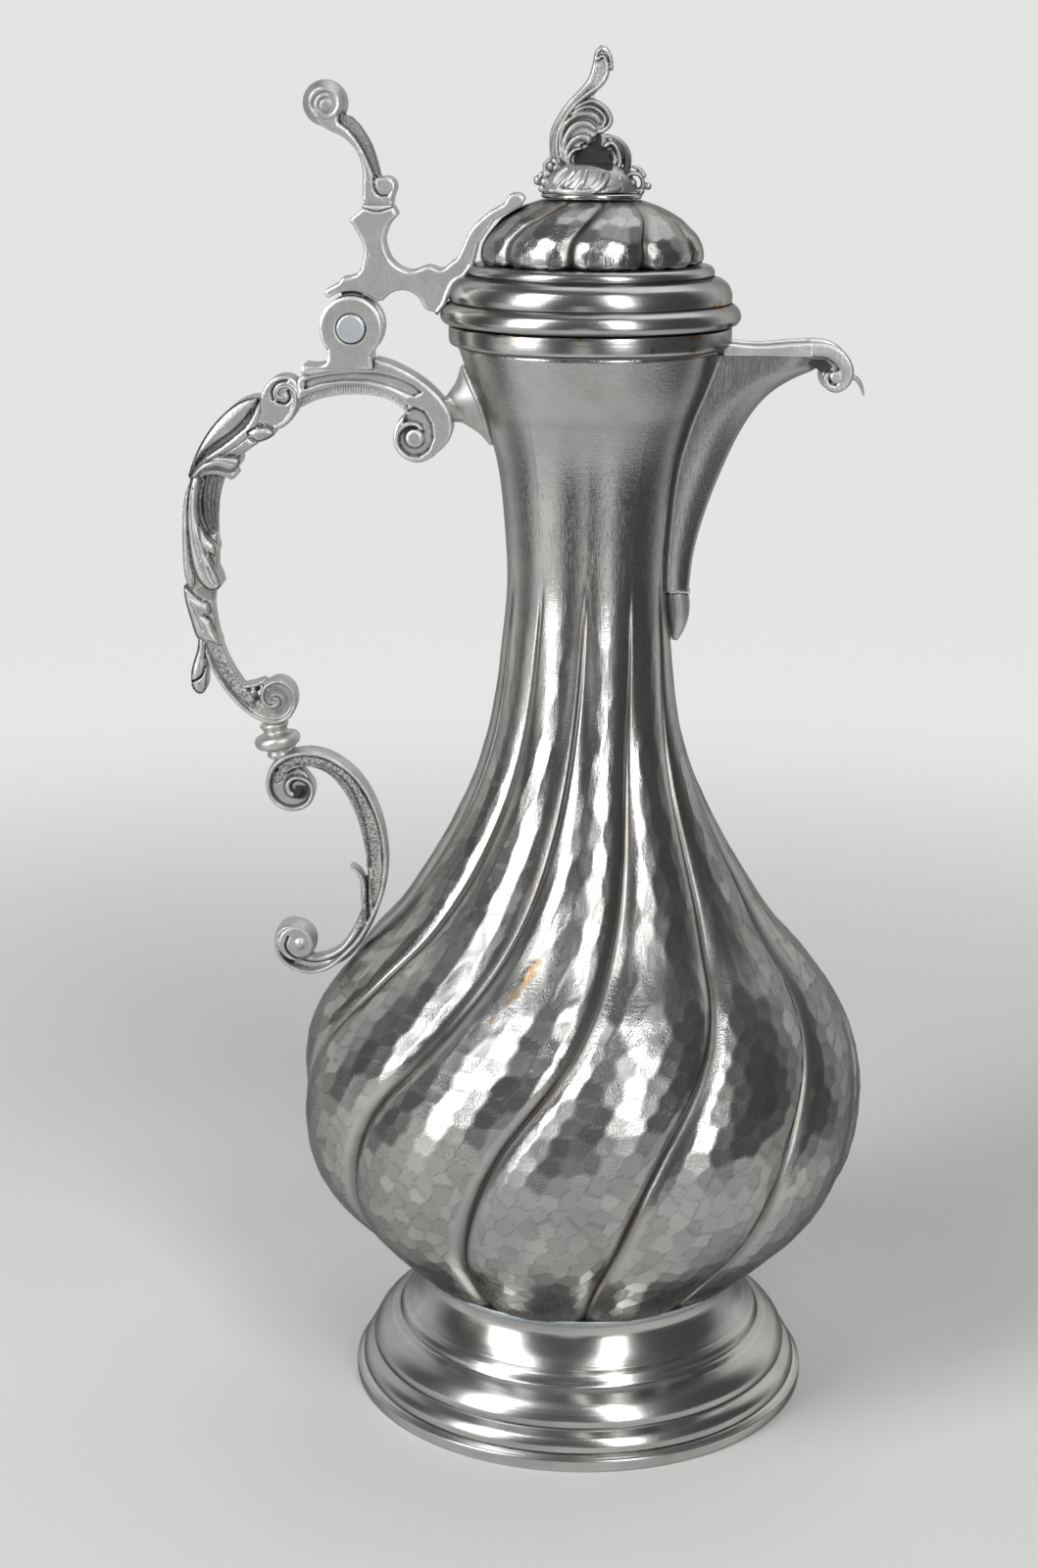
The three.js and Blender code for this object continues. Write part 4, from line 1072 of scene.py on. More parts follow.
gripCoil = [(-78, 271.4, 1.5), (-79.2, 271.4, 1.4), (-79.6, 272.6, 1.3), (-78.6, 274, 1.2), (-77, 274.2, 1.2),
            (-75.5, 273.1, 1.3), (-74.8, 271, 1.4), (-75.2, 268.5, 1.4), (-76.5, 266, 1.4), (-78.4, 264.2, 1.3),
            (-80.4, 263.4, 1.2)]
gripPanel = rounded([(-99.4, 250.8), (-95, 250.9), (-93.8, 248), (-95.6, 241), (-95.8, 236.6), (-98.4, 235.6),
                     (-100, 239), (-100.1, 245)])
gripPiece = fuse("handle_grip_cast", [
    strand(gripStem, blunt=0.45), *[plate(outline, half) for outline, half, _, _ in gripLeaves],
    strand([(*p[:2], *(p[2:] or (1.3,)), grip["rim"]) for p in gripRim], blunt=0.6),
    strand([(*p, 11.2) for p in gripCoil], blunt=0.7), roll(-81.2, 191.4, 4.9, 2.8, edge=0.2),
    strand([(-83.9, 194.2), (-82, 194.9), (-79.7, 193.9), (-78.7, 191.5), (-79.6, 189.1), (-82, 188.4)], 0.7, 7.0),
    strand([(-89.4, 195.2, 1.3, 6.8), (-87, 195.6, 1.6, 7.2), (-84.8, 196.6, 1.3, 6.4)]),
    ball(-87.4, 193.6, 1.1, 3.2), ball(-87.4, 193.6, 1.1, -3.2), ball(-88, 191.6, 0.9, 3), ball(-88, 191.6, 0.9, -3)],
    voxel=0.26, rounds=2)
carve(gripPiece, [
    overlaid(gripLeaves),
    pressed(gripPanel, -0.9),
    cut([(-98.2, 250.4), (-99.1, 244.6), (-98.8, 239.4), (-97.8, 236.6)], 0.62, 1.0),
    cut([(-96, 250.2), (-97, 244.6), (-97, 239.6), (-96.6, 237)], 0.5, 0.8),
    cut([(-86.2, 268.4), (-88.4, 265.2), (-91.6, 262.3), (-95.4, 259.6), (-98.6, 257.2), (-101, 254.4)], 0.4, -0.7),
    cut([(-101.8, 248), (-102.2, 243), (-102.2, 238), (-101.6, 233), (-100.4, 229)], 0.45, -0.45, (0.5, 1, 1, 0.4)),
    cut([(-100.6, 239), (-99.8, 234), (-98.6, 230.4)], 0.6, -0.5, (0.3, 1, 0.7)),
    cut([(-98.6, 227.4), (-97.4, 224.6), (-96.4, 222.6)], 0.6, -0.5, (0.3, 1, 0.4)),
    cut([(-99.8, 254.2), (-96.4, 255.2), (-93.2, 254.9), (-91, 254.2)], 0.5, -0.45, (0.3, 1, 0.6)),
    cut([(-103.2, 217.6), (-101.8, 213.8), (-100.4, 210.4)], 0.6, -0.5, (0.5, 1, 0.4)),
    cut([(-104.2, 221), (-102.4, 219.2), (-100, 218), (-98.6, 217.4)], 0.45, 0.4),
    cut([(-100.3, 200.4), (-100.9, 198.4), (-102, 197.2), (-103.6, 196.4)], 0.55, -1.5, (0.6, 1, 0.8)),
    cut([(-99, 204.4), (-96.2, 198.4), (-92.6, 193.4), (-88.8, 190)], 0.5, -0.4),
    cut([(-80.6, 270.6), (-81, 272.8), (-79.6, 275), (-77, 275.6)], 0.5, -0.9),
    cut([(-79.6, 270.2), (-77.6, 269.8), (-76.4, 271.2), (-76.8, 272.9)], 0.6, -1.0)])
# Painted shade: the sunk panel and the ground by the lower scroll, both also stippled, the lower scroll's spiral and
# a spot where the leaves end are darkened as if in shadow.
finishCast(gripPiece, ["handle_grip"], depth=0.42, shadeAndStipple=[
    (gripPanel, 0.36, 0.5),
    (rounded([(-98.9, 205.4), (-96.2, 205.4), (-92.4, 199), (-88.6, 194), (-85.6, 195.6), (-85.4, 189.8),
              (-87.6, 188.4), (-91.4, 191.8), (-95.4, 197)]), 0.24, 0.8),
    (arc(-81, 191.4, 3.9, 1, 0, 24), 0.3, 0),
    ([(-99.6, 222.6), (-96.6, 220.8), (-97.8, 217.4), (-102.6, 221)], 0.4, 0)])


# Small parts set in rows: each spot is (x, y, z, turn about y in degrees, size)
def growRowTree():
    graph, take = startTree("part_row", [
        ("Spots", "Geometry", None), ("Width", "Float", 0.0004), ("Length", "Float", 0.002),
        ("Metal", "Material", None)])
    rod = graph.make("GeometryNodeMeshCylinder", None, {"Vertices": 8, "Radius": take["Width"] * 0.5,
                                                       "Depth": take["Length"]})
    turn, size = (graph.make("GeometryNodeInputNamedAttribute", {"data_type": "FLOAT"}, {"Name": name})
                  for name in ("turn", "size"))
    shape = graph.make("GeometryNodeInstanceOnPoints", None, {
        "Points": graph.make("GeometryNodeMeshToPoints", None, {"Mesh": take["Spots"]}), "Instance": rod,
        "Rotation": graph.make("ShaderNodeCombineXYZ", None, {1: turn}),
        "Scale": graph.make("ShaderNodeCombineXYZ", None, {0: 1.0, 1: 1.0, 2: size})})
    return endTree(graph, shape, take["Metal"])


rowTree = growRowTree()


def partRow(name, spots, **sizes):
    spots = np.array(spots, float)
    mesh = bpy.data.meshes.new(name)
    mesh.from_pydata(spots[:, :3] * mm, [], [])
    storeValues(mesh, "turn", np.radians(spots[:, 3]))
    storeValues(mesh, "size", spots[:, 4])
    obj = newObject(name, mesh)
    grow(obj, rowTree, {"Metal": castPewter} | sizes)
    return obj


# Arch of the handle: a band with a sunk crescent that ends in a scroll, over a finely ribbed underside
arch = {"half": 5.5, "rib": 2.4, "ribStep": 0.66, "ground": -1.9}
archOutline = joined(
    smoothLine([(-74.4, 275.6), (-73.2, 276.8), (-70, 277.5), (-64, 278.3), (-54.8, 278.9)], 4), [(-54.7, 281.3)],
    smoothLine([(-54, 281.1), (-50, 279.9), (-44, 276.8), (-38.6, 272.4), (-35.3, 267.4), (-35.1, 262),
                (-38.4, 257.8), (-43.4, 255), (-48.2, 256.8), (-50, 261), (-49.2, 264.8), (-46.7, 267.3)], 6),
    smoothLine([(-46.1, 269.5), (-50, 272.2), (-59, 274.5), (-68, 273.5), (-74.4, 270.8)], 6))
crescent = [(-72.4, 275.7), (-70, 276.6), (-66, 277.4), (-60, 278), (-54, 277.8), (-49, 276.7), (-45, 274.9),
            (-42.4, 273), (-44.5, 271.9), (-47, 273), (-51, 274.7), (-56, 275.9), (-62, 276), (-68, 275.1),
            (-72.6, 273.4)]
scrollGround = [(-46.6, 268.2), (-44.6, 269.3), (-42, 268.2), (-40.2, 265.2), (-39.7, 261.4), (-40.9, 258.2),
                (-43.4, 256.5), (-46.6, 256.9), (-48.8, 259.2), (-49, 262.6), (-47.6, 264.8), (-47, 266.6)]
archBand = fuse("arch_band", [plate(archOutline, arch["half"])])
carve(archBand, [crowned(archOutline, 0.9, 0.8), pressed(crescent, -0.8),
                 pressed(scrollGround, arch["ground"]),
                 cut([(-73.6, 272.8), (-68, 274.8), (-60, 275.4), (-52, 274), (-46.4, 271.4)], 0.4, 0.35)])
ribOutline = joined(
    smoothLine([(-73.8, 268.5), (-68, 271), (-59, 272), (-51, 270.6), (-46.7, 267.4)], 6),
    [(-44, 268), (-46, 270.4), (-52, 273.6), (-59, 275.4), (-68, 274.6), (-73.8, 272)])
archPiece = fuse("handle_arch_cast", [
    archBand, plate(ribOutline, arch["rib"]),
    strand([(-40.2, 257.3, 2.2), (-43, 255.9, 1.7), (-46.4, 256.3, 1.6), (-49, 258.9, 1.7), (-49.1, 262.3, 1.7),
            (-47, 264.6, 1.6), (-44.4, 264.9, 1.3), (-42.6, 263.5, 0.8)], deep=11.2, blunt=0.6),
    roll(-44.6, 261.2, 2.35, 5.2, edge=0.9), roll(-45.4, 261.4, 4.2, 3.4, 0.6)], rounds=2)
finishCast(archPiece, ["handle_arch"], depth=0.18, reach=9)
ribLine = respaced(smoothLine([(-72.6, 270.9), (-68, 272.6), (-59, 273.4), (-51.4, 272), (-47, 269.6)], 12),
                   arch["ribStep"])
ribRun = np.degrees(np.arctan2(*np.gradient(ribLine, axis=0).T[::-1]))
ribs = partRow("handle_arch_ribs", [(x, side * (arch["rib"] + 0.12), z, -angle, 1 - 0.3 * abs(x + 60) / 14)
                                    for side in (-1, 1) for (x, z), angle in zip(ribLine, ribRun)],
               Width=0.4 * mm, Length=2.5 * mm)
markHollows(ribs.data, reach=2, depth=0.3)
finishPiece(ribs, "jug", [])

# Flange that spreads on the neck
flangeReach = along([(258.8, 0.5), (262, 2.4), (265, 6), (268, 8), (271.5, 7.2), (275, 3.6), (279.6, 0.5)])
flangeHalf = along([(258.8, 0.8), (266, 4.6), (271, 6.4), (276, 4.4), (279.6, 1)])
flangeSides, flangeRows = 40, 60


def flangeRow(z):
    across = np.linspace(0, math.pi, flangeSides)
    out = np.sin(across) ** 1.6
    half = float(flangeHalf(z))
    y = -half * np.cos(across)
    skin = np.sqrt(np.maximum(float(bodyRadius(z)) ** 2 - y ** 2, 0)) - 0.9
    return np.stack([-skin - (float(flangeReach(z)) + 0.9) * out, y, 0 * y + z], 1)


def shell(name, rings, metal):
    rings = np.array(rings)
    count, sides = rings.shape[:2]
    mesh = bpy.data.meshes.new(name)
    faces = ringFaces(count, sides)
    faces += [list(range(sides))[::-1], list(range((count - 1) * sides, count * sides))]
    mesh.from_pydata(rings.reshape(-1, 3) * mm, [], faces)
    mesh.materials.append(metal)
    return newObject(name, mesh)


flange = shell("handle_flange_cast", [flangeRow(z) for z in np.linspace(259, 279.4, flangeRows)], castPewter)
flangeEdge = [(-bodyDepth(z, float(flangeHalf(z))), z, 0.7, 0.7, -float(flangeHalf(z)))
              for z in np.linspace(259.4, 279, 12)]
flangePiece = fuse("handle_flange_cast", [
    flange, *mirrored(flangeEdge),
    strand([(-37, 268.2, 6.4), (-34.4, 268.6, 7.6), (-32, 269, 9)], deep=6.4)], voxel=0.3)
finishCast(flangePiece, ["handle_flange"], depth=0.25)

# Hinge bracket with its two ears, and the pin
hinge = {"x": -60.4, "z": 289.0, "ear": 8.05, "half": 7.0, "slot": 2.8, "head": 3.5}
earArc = arc(hinge["x"], hinge["z"], hinge["ear"], -264 / 360, 222, 60)
bracketOutline = joined(
    smoothLine([(-72.9, 279.7), (-70.4, 279.4), (-67.6, 279.8), (-66.4, 281.2), (-66.5, 283.3)], 5), earArc,
    [(-55.3, 282.3), (-54.9, 278.9)], smoothLine([(-60, 278.6), (-66, 278.2), (-70.6, 277.4), (-73.2, 277.8)], 4))
bracketBase = [point for point in bracketOutline if point[1] < 281.6]
bracketPiece = fuse("hinge_bracket_cast", [
    plate(bracketOutline, hinge["half"], -hinge["slot"]), plate(bracketOutline, -hinge["slot"], hinge["half"]),
    plate(bracketBase, hinge["half"])], rounds=2)
carve(bracketPiece, [crowned(bracketOutline, 0.8, 0.7),
                     cut(arc(hinge["x"], hinge["z"], 3.75, 1, 0, 40), 0.4, -0.35),
                     cut([(-71.6, 278.6), (-68, 278.9), (-64, 279), (-58, 279.2)], 0.4, -0.25)])
finishCast(bracketPiece, ["hinge_bracket"], depth=0.18, reach=9)
pinPiece = fuse("hinge_pin_cast", [
    roll(hinge["x"], hinge["z"], 1.88, 7.4),
    *[roll(hinge["x"], hinge["z"], hinge["head"], 0.42, y=side * 7.42, edge=0.3) for side in (-1, 1)]], voxel=0.22)
pinPiece.data.materials[0] = solderPewter
finishCast(pinPiece, ["hinge_pin"], depth=0.5)

# Strap of the lid with its knuckle, and the thumbpiece on it
strapOutline = joined(
    [(-57.3, 319.5), (-57.4, 318.5), (-60.7, 315.9)],
    smoothLine([(-59.3, 313.9), (-57, 308.6), (-58.2, 303.2), (-60.4, 301.8), (-62.6, 301.5)], 5),
    [(-63.6, 300.2), (-67.2, 298.2), (-66.9, 297)],
    arc(hinge["x"], hinge["z"], 9.25, -82 / 360, 128, 60),
    smoothLine([(-52.4, 295.9), (-50, 297.9), (-46.6, 298.5), (-43.4, 296.8), (-41.6, 293.9), (-38.4, 292.9)], 5),
    [(-33.5, 299.4), (-29.6, 304.8), (-28.3, 310), (-24.2, 316)],
    smoothLine([(-17.4, 319.4), (-16.6, 321.2), (-18.2, 322.5), (-20.6, 322), (-21.8, 320)], 5),
    smoothLine([(-25.6, 317.9), (-30.2, 313.6), (-33.4, 307), (-35.2, 305.4), (-37.6, 303.7), (-41, 304.5),
                (-45.6, 303.2), (-50, 305.6), (-51.9, 310.6), (-50.6, 314.8)], 6), [(-48.5, 317.1), (-49.8, 319.5)])
strap = {"half": 5.0, "knuckle": 6.6, "knuckleHalf": 2.5}
solderRun = [(-38.7, 292.9), (-37.2, 294.9), (-36.2, 297.4), (-34.6, 300.6), (-31.8, 302.4), (-30.2, 304.6)]
strapPiece = fuse("lid_strap_cast", [
    plate(strapOutline, strap["half"]), roll(hinge["x"], hinge["z"], strap["knuckle"], strap["knuckleHalf"]),
    plate([(-63, 299), (-63, 292), (-57.8, 292), (-57.8, 299)], strap["knuckleHalf"]),
    *pair(solderRun, 5.0, thick=1.0, deep=0.9)], rounds=2)
carve(strapPiece, [crowned(strapOutline, 0.8, 0.7), cut([(-57.4, 318.9), (-53.6, 317.9), (-49.8, 319)], 0.4, -0.5),
                   cut([(-60, 303.6), (-57.2, 303.9), (-56, 308)], 0.35, -0.12)])
finishCast(strapPiece, ["lid_strap"], "lid", depth=0.18, reach=9)
thumbOutline = joined(
    smoothLine([(-57.3, 319.48), (-57.2, 324), (-57.1, 327.6), (-57.8, 330.8), (-59.4, 333.6), (-62, 335.9),
                (-65.4, 337.5), (-68.2, 339.2), (-70, 341.7), (-70.6, 344.6), (-69.2, 347.2), (-66.4, 348.1),
                (-63.6, 347), (-62.2, 344.4), (-62.8, 341.6), (-63, 339.4)], 5),
    smoothLine([(-60.5, 337.6), (-58.1, 334.6), (-56.1, 331), (-54.6, 327.5), (-54, 325.9)], 5),
    smoothLine([(-53, 326.2), (-51, 326.4), (-49.2, 325.3), (-48.8, 323.4), (-49.5, 321.6), (-49.8, 319.48)], 5))
thumbPiece = fuse("thumbpiece_face", [plate(thumbOutline, strap["half"])])
carve(thumbPiece, [
    crowned(thumbOutline, 0.9, 0.8), pressed(arc(-66.3, 343.7, 3.3, 1, 0, 24), -1.0),
    cut([(-54.3, 326.6), (-54.2, 323.8), (-52.9, 322), (-50.9, 321.9), (-50.2, 323)], 0.55, -1.0, (0.7, 1, 0.6)),
    cut([(-57, 320.2), (-53.6, 319.9), (-50, 320.4)], 0.4, -0.5)])
thumbCore = joined(
    smoothLine([(-56.6, 321), (-56.6, 327), (-58.6, 333), (-64, 338), (-66, 341), (-63.4, 341.4), (-60.2, 340.8)], 4),
    smoothLine([(-58, 338.6), (-55.2, 334), (-53.2, 327.6), (-52.9, 324.6)], 4))
thumbPiece = fuse("thumbpiece_cast", [
    thumbPiece, roll(-66.6, 344.1, 4.2, 5.0, 1.5), plate(thumbCore, 3.4),
    strand([(-68.4, 340.6, 1.2), (-70, 343.4, 1.1), (-69.2, 346.2, 1.1), (-66.4, 347.5, 1.1), (-63.6, 346.4, 1.2),
            (-62.8, 343.9, 1.2), (-63.7, 341.7, 1.1), (-65.8, 340.8, 1), (-67.8, 341.8, 1), (-68.4, 343.8, 1),
            (-67.4, 345.5, 0.9), (-65.8, 345.8, 0.8)], deep=10.9, blunt=0.6),
    roll(-66.1, 343.5, 1.7, 5.3, edge=0.7)], rounds=2)
# Painted shade: the band along the stem's right flank, also stippled, and the centre of the spiral are darkened as if
# in shadow.
finishCast(thumbPiece, ["thumbpiece"], "lid", depth=0.18, reach=9, shadeAndStipple=[
    ([(-62.9, 339.2), (-60.2, 337.3), (-57.9, 334.5), (-55.9, 331), (-54.3, 327.4), (-53.6, 326), (-52.4, 326.6),
      (-54.4, 334), (-59, 341.4), (-62.4, 342.6)], 0.4, 0.4),
    (arc(-66.2, 343.6, 2.9, 1, 0, 24), 0.35, 0)])

# Spout: a trough whose V section widens upward, with a flat rim that curls over at the tip
spout = {"bottom": 221.6, "top": 282.9, "wall": 1.5, "rows": 90, "sides": 30, "half": 7.0, "rimInner": 5.5,
         "dull": 0.22}
spoutFront = along([(221, 26.4), (232, 27.6), (244, 30.8), (256, 35.4), (264, 39.2), (270, 43.2), (274, 47.4),
                    (277, 52.4), (279.4, 57.6), (283, 59.6)])
spoutHalf = along([(221, 3.6), (250, 5.6), (283, 7)])
spoutBlunt = along([(221, 1), (260, 0.9), (276, 0.45), (283, 0.25)])


def troughSide(z, inset):
    angles = np.linspace(0, math.pi, spout["sides"])
    half = float(spoutHalf(z)) - inset
    back = bodyDepth(z, half) - 1.0
    reach = float(spoutFront(z)) - inset * 1.2 - back
    return np.stack([back + reach * np.maximum(np.sin(angles), 0) ** float(spoutBlunt(z)), -half * np.cos(angles),
                     0 * angles + z], 1)


troughRows = np.linspace(spout["bottom"], spout["top"], spout["rows"])
spoutPiece = shell("spout_sheet", [np.vstack([troughSide(z, 0), troughSide(z, spout["wall"])[::-1]])
                                   for z in troughRows], sheetPewter)
markHollows(spoutPiece.data, reach=4, depth=0.3)
storeValues(spoutPiece.data, "hollow", np.maximum(readValues(spoutPiece.data, "hollow"), spout["dull"]))
finishPiece(spoutPiece, "jug", ["spout"])
spoutSeam = [(bodyDepth(z, float(spoutHalf(z))) + 0.15, z, 0.8, 0.7, -float(spoutHalf(z)) - 0.15)
             for z in np.linspace(222, 281, 24)]
seams = fuse("spout_seam", mirrored(spoutSeam, perSpan=3), voxel=0.22, rounds=1)
finishCast(seams, [], depth=0.4)
rimOutline = joined(
    smoothLine([(33.6, 286.3), (40, 285.6), (44, 285.5), (50, 286), (56.4, 286.4)], 5),
    [(56.4, 282.8), (33.6, 282.8)])
for name, near, far in (("near", spout["half"], -spout["rimInner"]), ("far", -spout["rimInner"], spout["half"])):
    rim = fuse(f"spout_rim_{name}_cast", [plate(rimOutline, near, far)], rounds=2)
    carve(rim, [crowned(rimOutline, 0.6, 0.45)])
    finishCast(rim, [f"spout_rim_{name}"])
voluteBand = [(55.9, 284.7, 3.5), (59.8, 284.4, 3.6), (63, 282.6, 3.8), (64.9, 279.6, 3.4), (64.6, 276.7, 2.8),
              (62.7, 274.9, 2.1), (60.5, 275.3, 1.7), (59.6, 277.2, 1.4), (60.2, 279, 1.1)]
volutePiece = fuse("spout_volute_cast", [
    *pair(voluteBand, 6.05, deep=1.9, blunt=0.5),
    strand([(55.9, 283.1, 0.9), (59.8, 282.9, 1.2), (62.6, 281.4, 1.8), (64.2, 279, 2.4), (63.9, 276.6, 2.4),
            (62.4, 275.3, 2), (60.7, 275.8, 1.6)], deep=12.6, blunt=0.5),
    plate([(54.6, 283.4), (61, 283), (62.4, 280), (60.4, 277.4), (58.6, 278.8), (56.4, 280.4), (54.6, 281)], 5.4),
    roll(61.9, 277.7, 3.4, 5.6, 0.4), roll(62.3, 277.8, 1.6, 7.0, edge=0.7)], voxel=0.24)
# Painted shade: the area beside the volute's curl is darkened as if in shadow.
finishCast(volutePiece, ["spout_volute"], depth=0.2, reach=8, shadeAndStipple=[
    ([(54.6, 282.6), (59.4, 282.4), (61.6, 280.4), (60.2, 278.6), (58.4, 278.6), (54.4, 281)], 0.7, 0)])
tonguePiece = fuse("spout_tongue_cast", [
    strand([(66.4, 277.4, 1.5, 4), (68, 276.7, 1.3, 3.2), (69.2, 274.9, 1.0, 2.2), (69.9, 272.6, 0.55, 1.2)])],
                   voxel=0.2)
finishCast(tonguePiece, ["spout_tongue"])
dropPiece = fuse("spout_drop_cast", [
    strand([(23.4, 220.8, 6.2, 7.2), (23.9, 217.4, 6, 6.2), (23.9, 213.4, 4.8, 4.8), (23.2, 209.4, 2.6, 2.8)],
           blunt=0.95),
    strand([(21.4, 221.5, 0.9), (24, 221.8, 0.9), (26.6, 221.5, 0.9)], deep=7.8)])
finishCast(dropPiece, ["spout_drop"])


# Finial: a low mound with beads and swirls, and a plume of curling ridges over it
mound = {"x": -0.5, "low": 322.9, "high": 329.9, "radius": 12.0, "squash": 0.8}


def moundRadius(z):
    return mound["radius"] * math.sqrt(1 - 0.75 * ((z - mound["low"]) / (mound["high"] - mound["low"])) ** 2)


def onMound(points, side, lift=0.1):
    rows = []
    for x, z, thick in points:
        gap = max(moundRadius(max(z, mound["low"])) ** 2 - (x - mound["x"]) ** 2, 0)
        rows.append((x, z, thick, thick, side * (mound["squash"] * math.sqrt(gap) + lift)))
    return strand(rows)


moundLine = [(moundRadius(z), z) for z in np.linspace(mound["low"], mound["high"], 14)]
moundBody = spin("mound", [*moundLine, (0, mound["high"]), (0, mound["low"])], castPewter, columns=96, Crowding=0.0)
writePoints(moundBody.data, readPoints(moundBody.data) * (1, mound["squash"], 1) + (mound["x"] * mm, 0, 0))
moundRibs = [
    [(-10.2, 323.3, 1.2), (-6, 323.2, 1.3), (-1, 323.2, 1.3), (1.8, 324.2, 1.4), (3.3, 326, 1.4), (3.8, 327.6, 1)],
    [(-8.6, 323.9, 1), (-6.6, 325.6, 1.5), (-4.6, 327.8, 1.2)],
    [(-3.9, 323.9, 1), (-2.3, 325.6, 1.5), (-1.4, 328.2, 1.2)],
    [(0.2, 324.2, 1), (1.6, 325.8, 1.3), (2.2, 327.8, 1)], [(-6.4, 324.4, 0.7), (-4.8, 326, 0.9), (-3.2, 328.2, 0.7)],
    [(4, 323.6, 1.5), (6, 323.9, 1.6), (7.4, 324.6, 1.4), (7.6, 323.4, 1)],
    [(-9.4, 325, 1), (-8.4, 327, 1.3), (-6.4, 328.6, 1.2)],
    [(7.2, 326.4, 0.9), (9.4, 327.4, 1.1), (11, 327.4, 1)]]
beads = [(-10.9, 329.2, 1.4, 0), (-13.4, 325.6, 1.3, 0), (-11.7, 325.3, 1.2, -2.6), (-12.4, 323.6, 1, -2),
         (-11.4, 327.2, 1.1, -1.4), (8.6, 325, 0.9, -4.2), (10.3, 325.2, 0.9, -3), (14.0, 324.3, 1, 0),
         (12.3, 323.2, 1, -1.6)]
swirls = [[(7.4, 326, 0.9, 7), (9.4, 327.3, 1.1, 7), (11.6, 327.2, 1.1, 6.4), (12.7, 325.6, 1.1, 6),
           (12.5, 323.7, 1, 5.4)],
          [(10.4, 329, 0.8, 3), (12, 328.4, 1, 3.4), (13.2, 326.8, 1, 3.4)],
          [(-12.6, 327.4, 0.9, 3), (-13.2, 326, 1, 3.4)],
          [(-10.4, 330.8, 0.9, 4), (-11.8, 329.6, 1, 4), (-11.8, 328, 0.9, 4)]]
plume = [
    # flank behind, darkened with painted shade, then the bright main ridge and the arcs at its tip
    [(-9.8, 331.6, 1.6, 3), (-9.8, 336.5, 1.8, 3.2), (-8.4, 340, 1.8, 3.4), (-6, 343.6, 1.8, 3.4),
     (-3, 346.8, 1.8, 3.4), (-0.6, 349.5, 2, 3.6), (0.6, 353, 2, 3.6), (0.8, 356, 1.4, 3.2)],
    [(-8.2, 330, 1.2, 5), (-8.9, 333, 1.3, 5.4), (-8.6, 337, 1.3, 5.6), (-7, 340.5, 1.3, 5.6),
     (-4.6, 343.8, 1.3, 5.4), (-1.5, 346.4, 1.3, 5.2), (1.6, 348.6, 1.4, 5), (3.2, 351, 1.4, 4.8),
     (3.4, 353.5, 1.2, 4.4), (2.6, 355, 0.8, 4)],
    [(1.9, 357.9, 0.9, 4), (3.2, 357.2, 1.1, 4.4), (4.3, 355, 1, 4.4), (4.6, 352.5, 0.8, 4)],
    [(0.5, 354.6, 0.9, 4.6), (1, 356.6, 1.2, 4.6), (2.2, 357.3, 1.2, 4.6), (3.6, 356.2, 1, 4.4)],
    [(0.8, 354.5, 0.7, 4.6), (2, 355.6, 0.8, 4.8), (3.2, 355, 0.7, 4.6)],
    # inner arcs, each ending in a curl
    [(-7.6, 331, 1.1, 5), (-8, 335, 1.1, 5.2), (-7.2, 338.6, 1.2, 5.6), (-4.8, 341, 1.3, 5.8), (-2, 341.9, 1.6, 6),
     (0.6, 341.3, 1.9, 6), (1.9, 339.8, 1.5, 5.6)],
    [(-4.5, 342.9, 0.9, 4.8), (-2.5, 344.2, 1, 5), (0, 344.9, 1.2, 5.2), (3, 343.2, 1.3, 5.2), (4.5, 340.6, 1.3, 5),
     (3.8, 338.6, 1.2, 4.8), (2, 337.4, 0.9, 4.4)],
    [(-5.4, 341.6, 0.8, 4.4), (-3, 343, 0.9, 4.6), (-0.5, 343.5, 1, 4.6), (2, 342.2, 1.1, 4.6),
     (3.1, 340.4, 1.1, 4.4), (2.4, 338.6, 0.9, 4.2)],
    [(-7, 330.5, 1.2, 4.6), (-7.2, 334, 1.4, 4.8), (-5.8, 337.6, 1.8, 5), (-3.4, 339.4, 2, 5), (-1, 339.3, 1.8, 5),
     (0.8, 338, 1.2, 4.6)],
    [(-6.3, 330, 1.1, 5), (-6.4, 332.6, 1.2, 5.2), (-5.2, 335, 1.5, 5.6), (-3, 336.2, 2, 6), (-1.2, 335.9, 2.4, 6.4),
     (-0.8, 335, 1.8, 6)],
    [(-5.9, 329.6, 1, 5), (-5.6, 331.6, 1.2, 5.2), (-4.4, 333, 1.3, 5.2), (-2.8, 333.4, 1, 4.8)],
    # curl on the right, its back darkened with painted shade
    [(3.6, 336.4, 1.2, 3), (6, 335.4, 2, 3.2), (8, 333.4, 2.2, 3.2), (8.9, 331, 2, 3.2), (8.6, 327.6, 1.8, 3.2)],
    [(3.1, 333.9, 1.3, 5.2), (4.6, 334.8, 1.2, 5.2), (6.1, 333.6, 1.2, 5.2), (7, 331, 1.2, 5), (6.7, 329, 1.1, 4.8),
     (5.5, 327.4, 0.8, 4.4)], [(4.8, 332.4, 1.6, 3.6), (5.6, 330.6, 1.6, 3.6), (5.2, 328.6, 1, 3.4)]]
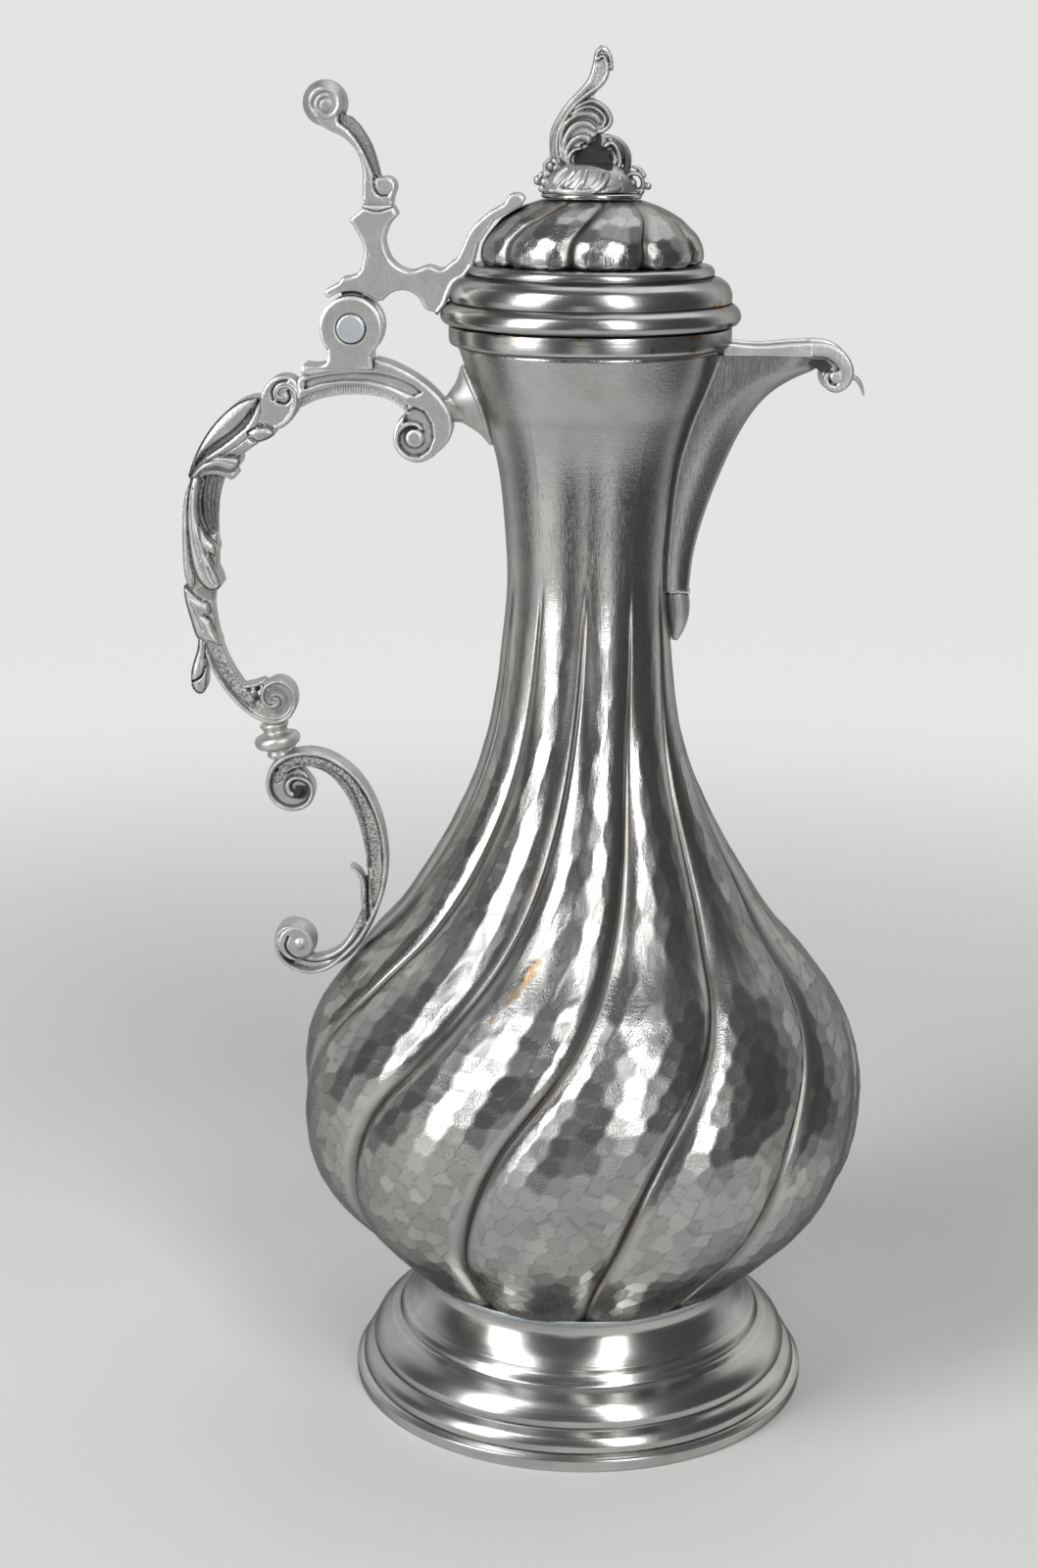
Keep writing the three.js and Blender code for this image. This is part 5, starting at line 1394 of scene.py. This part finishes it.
plumeBack = [(-9.2, 329), (-9.6, 336), (-7.8, 340), (-4.6, 344), (-1.4, 347), (0.2, 350), (0.8, 356), (3.2, 356.4),
             (4, 352), (2.4, 348.6), (0, 346), (1.6, 343.6), (3.8, 341), (2.8, 338), (1, 336.6), (-1, 335.4),
             (-3.4, 334), (-4.6, 331), (-4.4, 329)]
finialPiece = fuse("finial_cast", [
    moundBody, *[onMound(rib, side) for rib in moundRibs for side in (-1, 1)],
    *[ball(x, z, r, y=side * y) for x, z, r, y in beads for side in ((-1, 1) if y else (1,))],
    *[strand(row) for row in swirls + plume], plate(plumeBack, 1.5),
    plate([(-5.4, 328.6), (-4.8, 333), (-1, 335.4), (1, 337.4), (4, 336.6), (6.6, 334), (7.4, 330), (5, 328)], 0.8)],
    voxel=0.2, rounds=2)
# Painted shade: the gaps between the plume's ridges, the back of the right curl, the left flank and the mound's base
# are darkened as if in shadow.
finishCast(finialPiece, ["finial_mound", "finial_plume", "finial_curl"], "lid", depth=0.14, reach=8, shadeAndStipple=[
    (rounded([(-4.6, 329.4), (-4.2, 332.4), (-1.6, 333.9), (0.4, 335.6), (0.9, 337.4), (2.4, 336.4), (2.6, 334),
              (5.2, 332.6), (5.4, 330), (4.6, 328), (0, 329.2)]), 0.85, 0),
    (rounded([(3, 336.9), (6, 336), (8.4, 334), (9.8, 330.6), (9.2, 327), (7.6, 327.6), (7.8, 331), (6.6, 334)]), 0.6,
     0),
    (rounded([(-9.9, 330), (-10.8, 334), (-10, 338), (-7.4, 342.8), (-9.2, 338), (-9.6, 334)]), 0.5, 0),
    (rounded([(-6.6, 331), (-6.8, 336), (-4.4, 338.2), (-1, 338.2), (0.4, 337), (-2.6, 337.4), (-5.6, 335.4)]), 0.35,
     0),
    (rounded([(-8.6, 322.6), (9, 322.6), (12, 325), (8, 326), (4, 325.4), (3.4, 323.4), (0, 322.9)]), 0.35, 0)])
moulding("finial_disc_sheet", [
    *smoothLine([(12.4, 321.35), (12.68, 321.7), (12.68, 322.2), (12.4, 322.55)], 4), (0, 322.6), (0, 321.3)],
    ["finial_disc"], "lid")


for name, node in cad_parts.items():
    node.data.materials.clear()
    node.data.materials.append(castPewter)
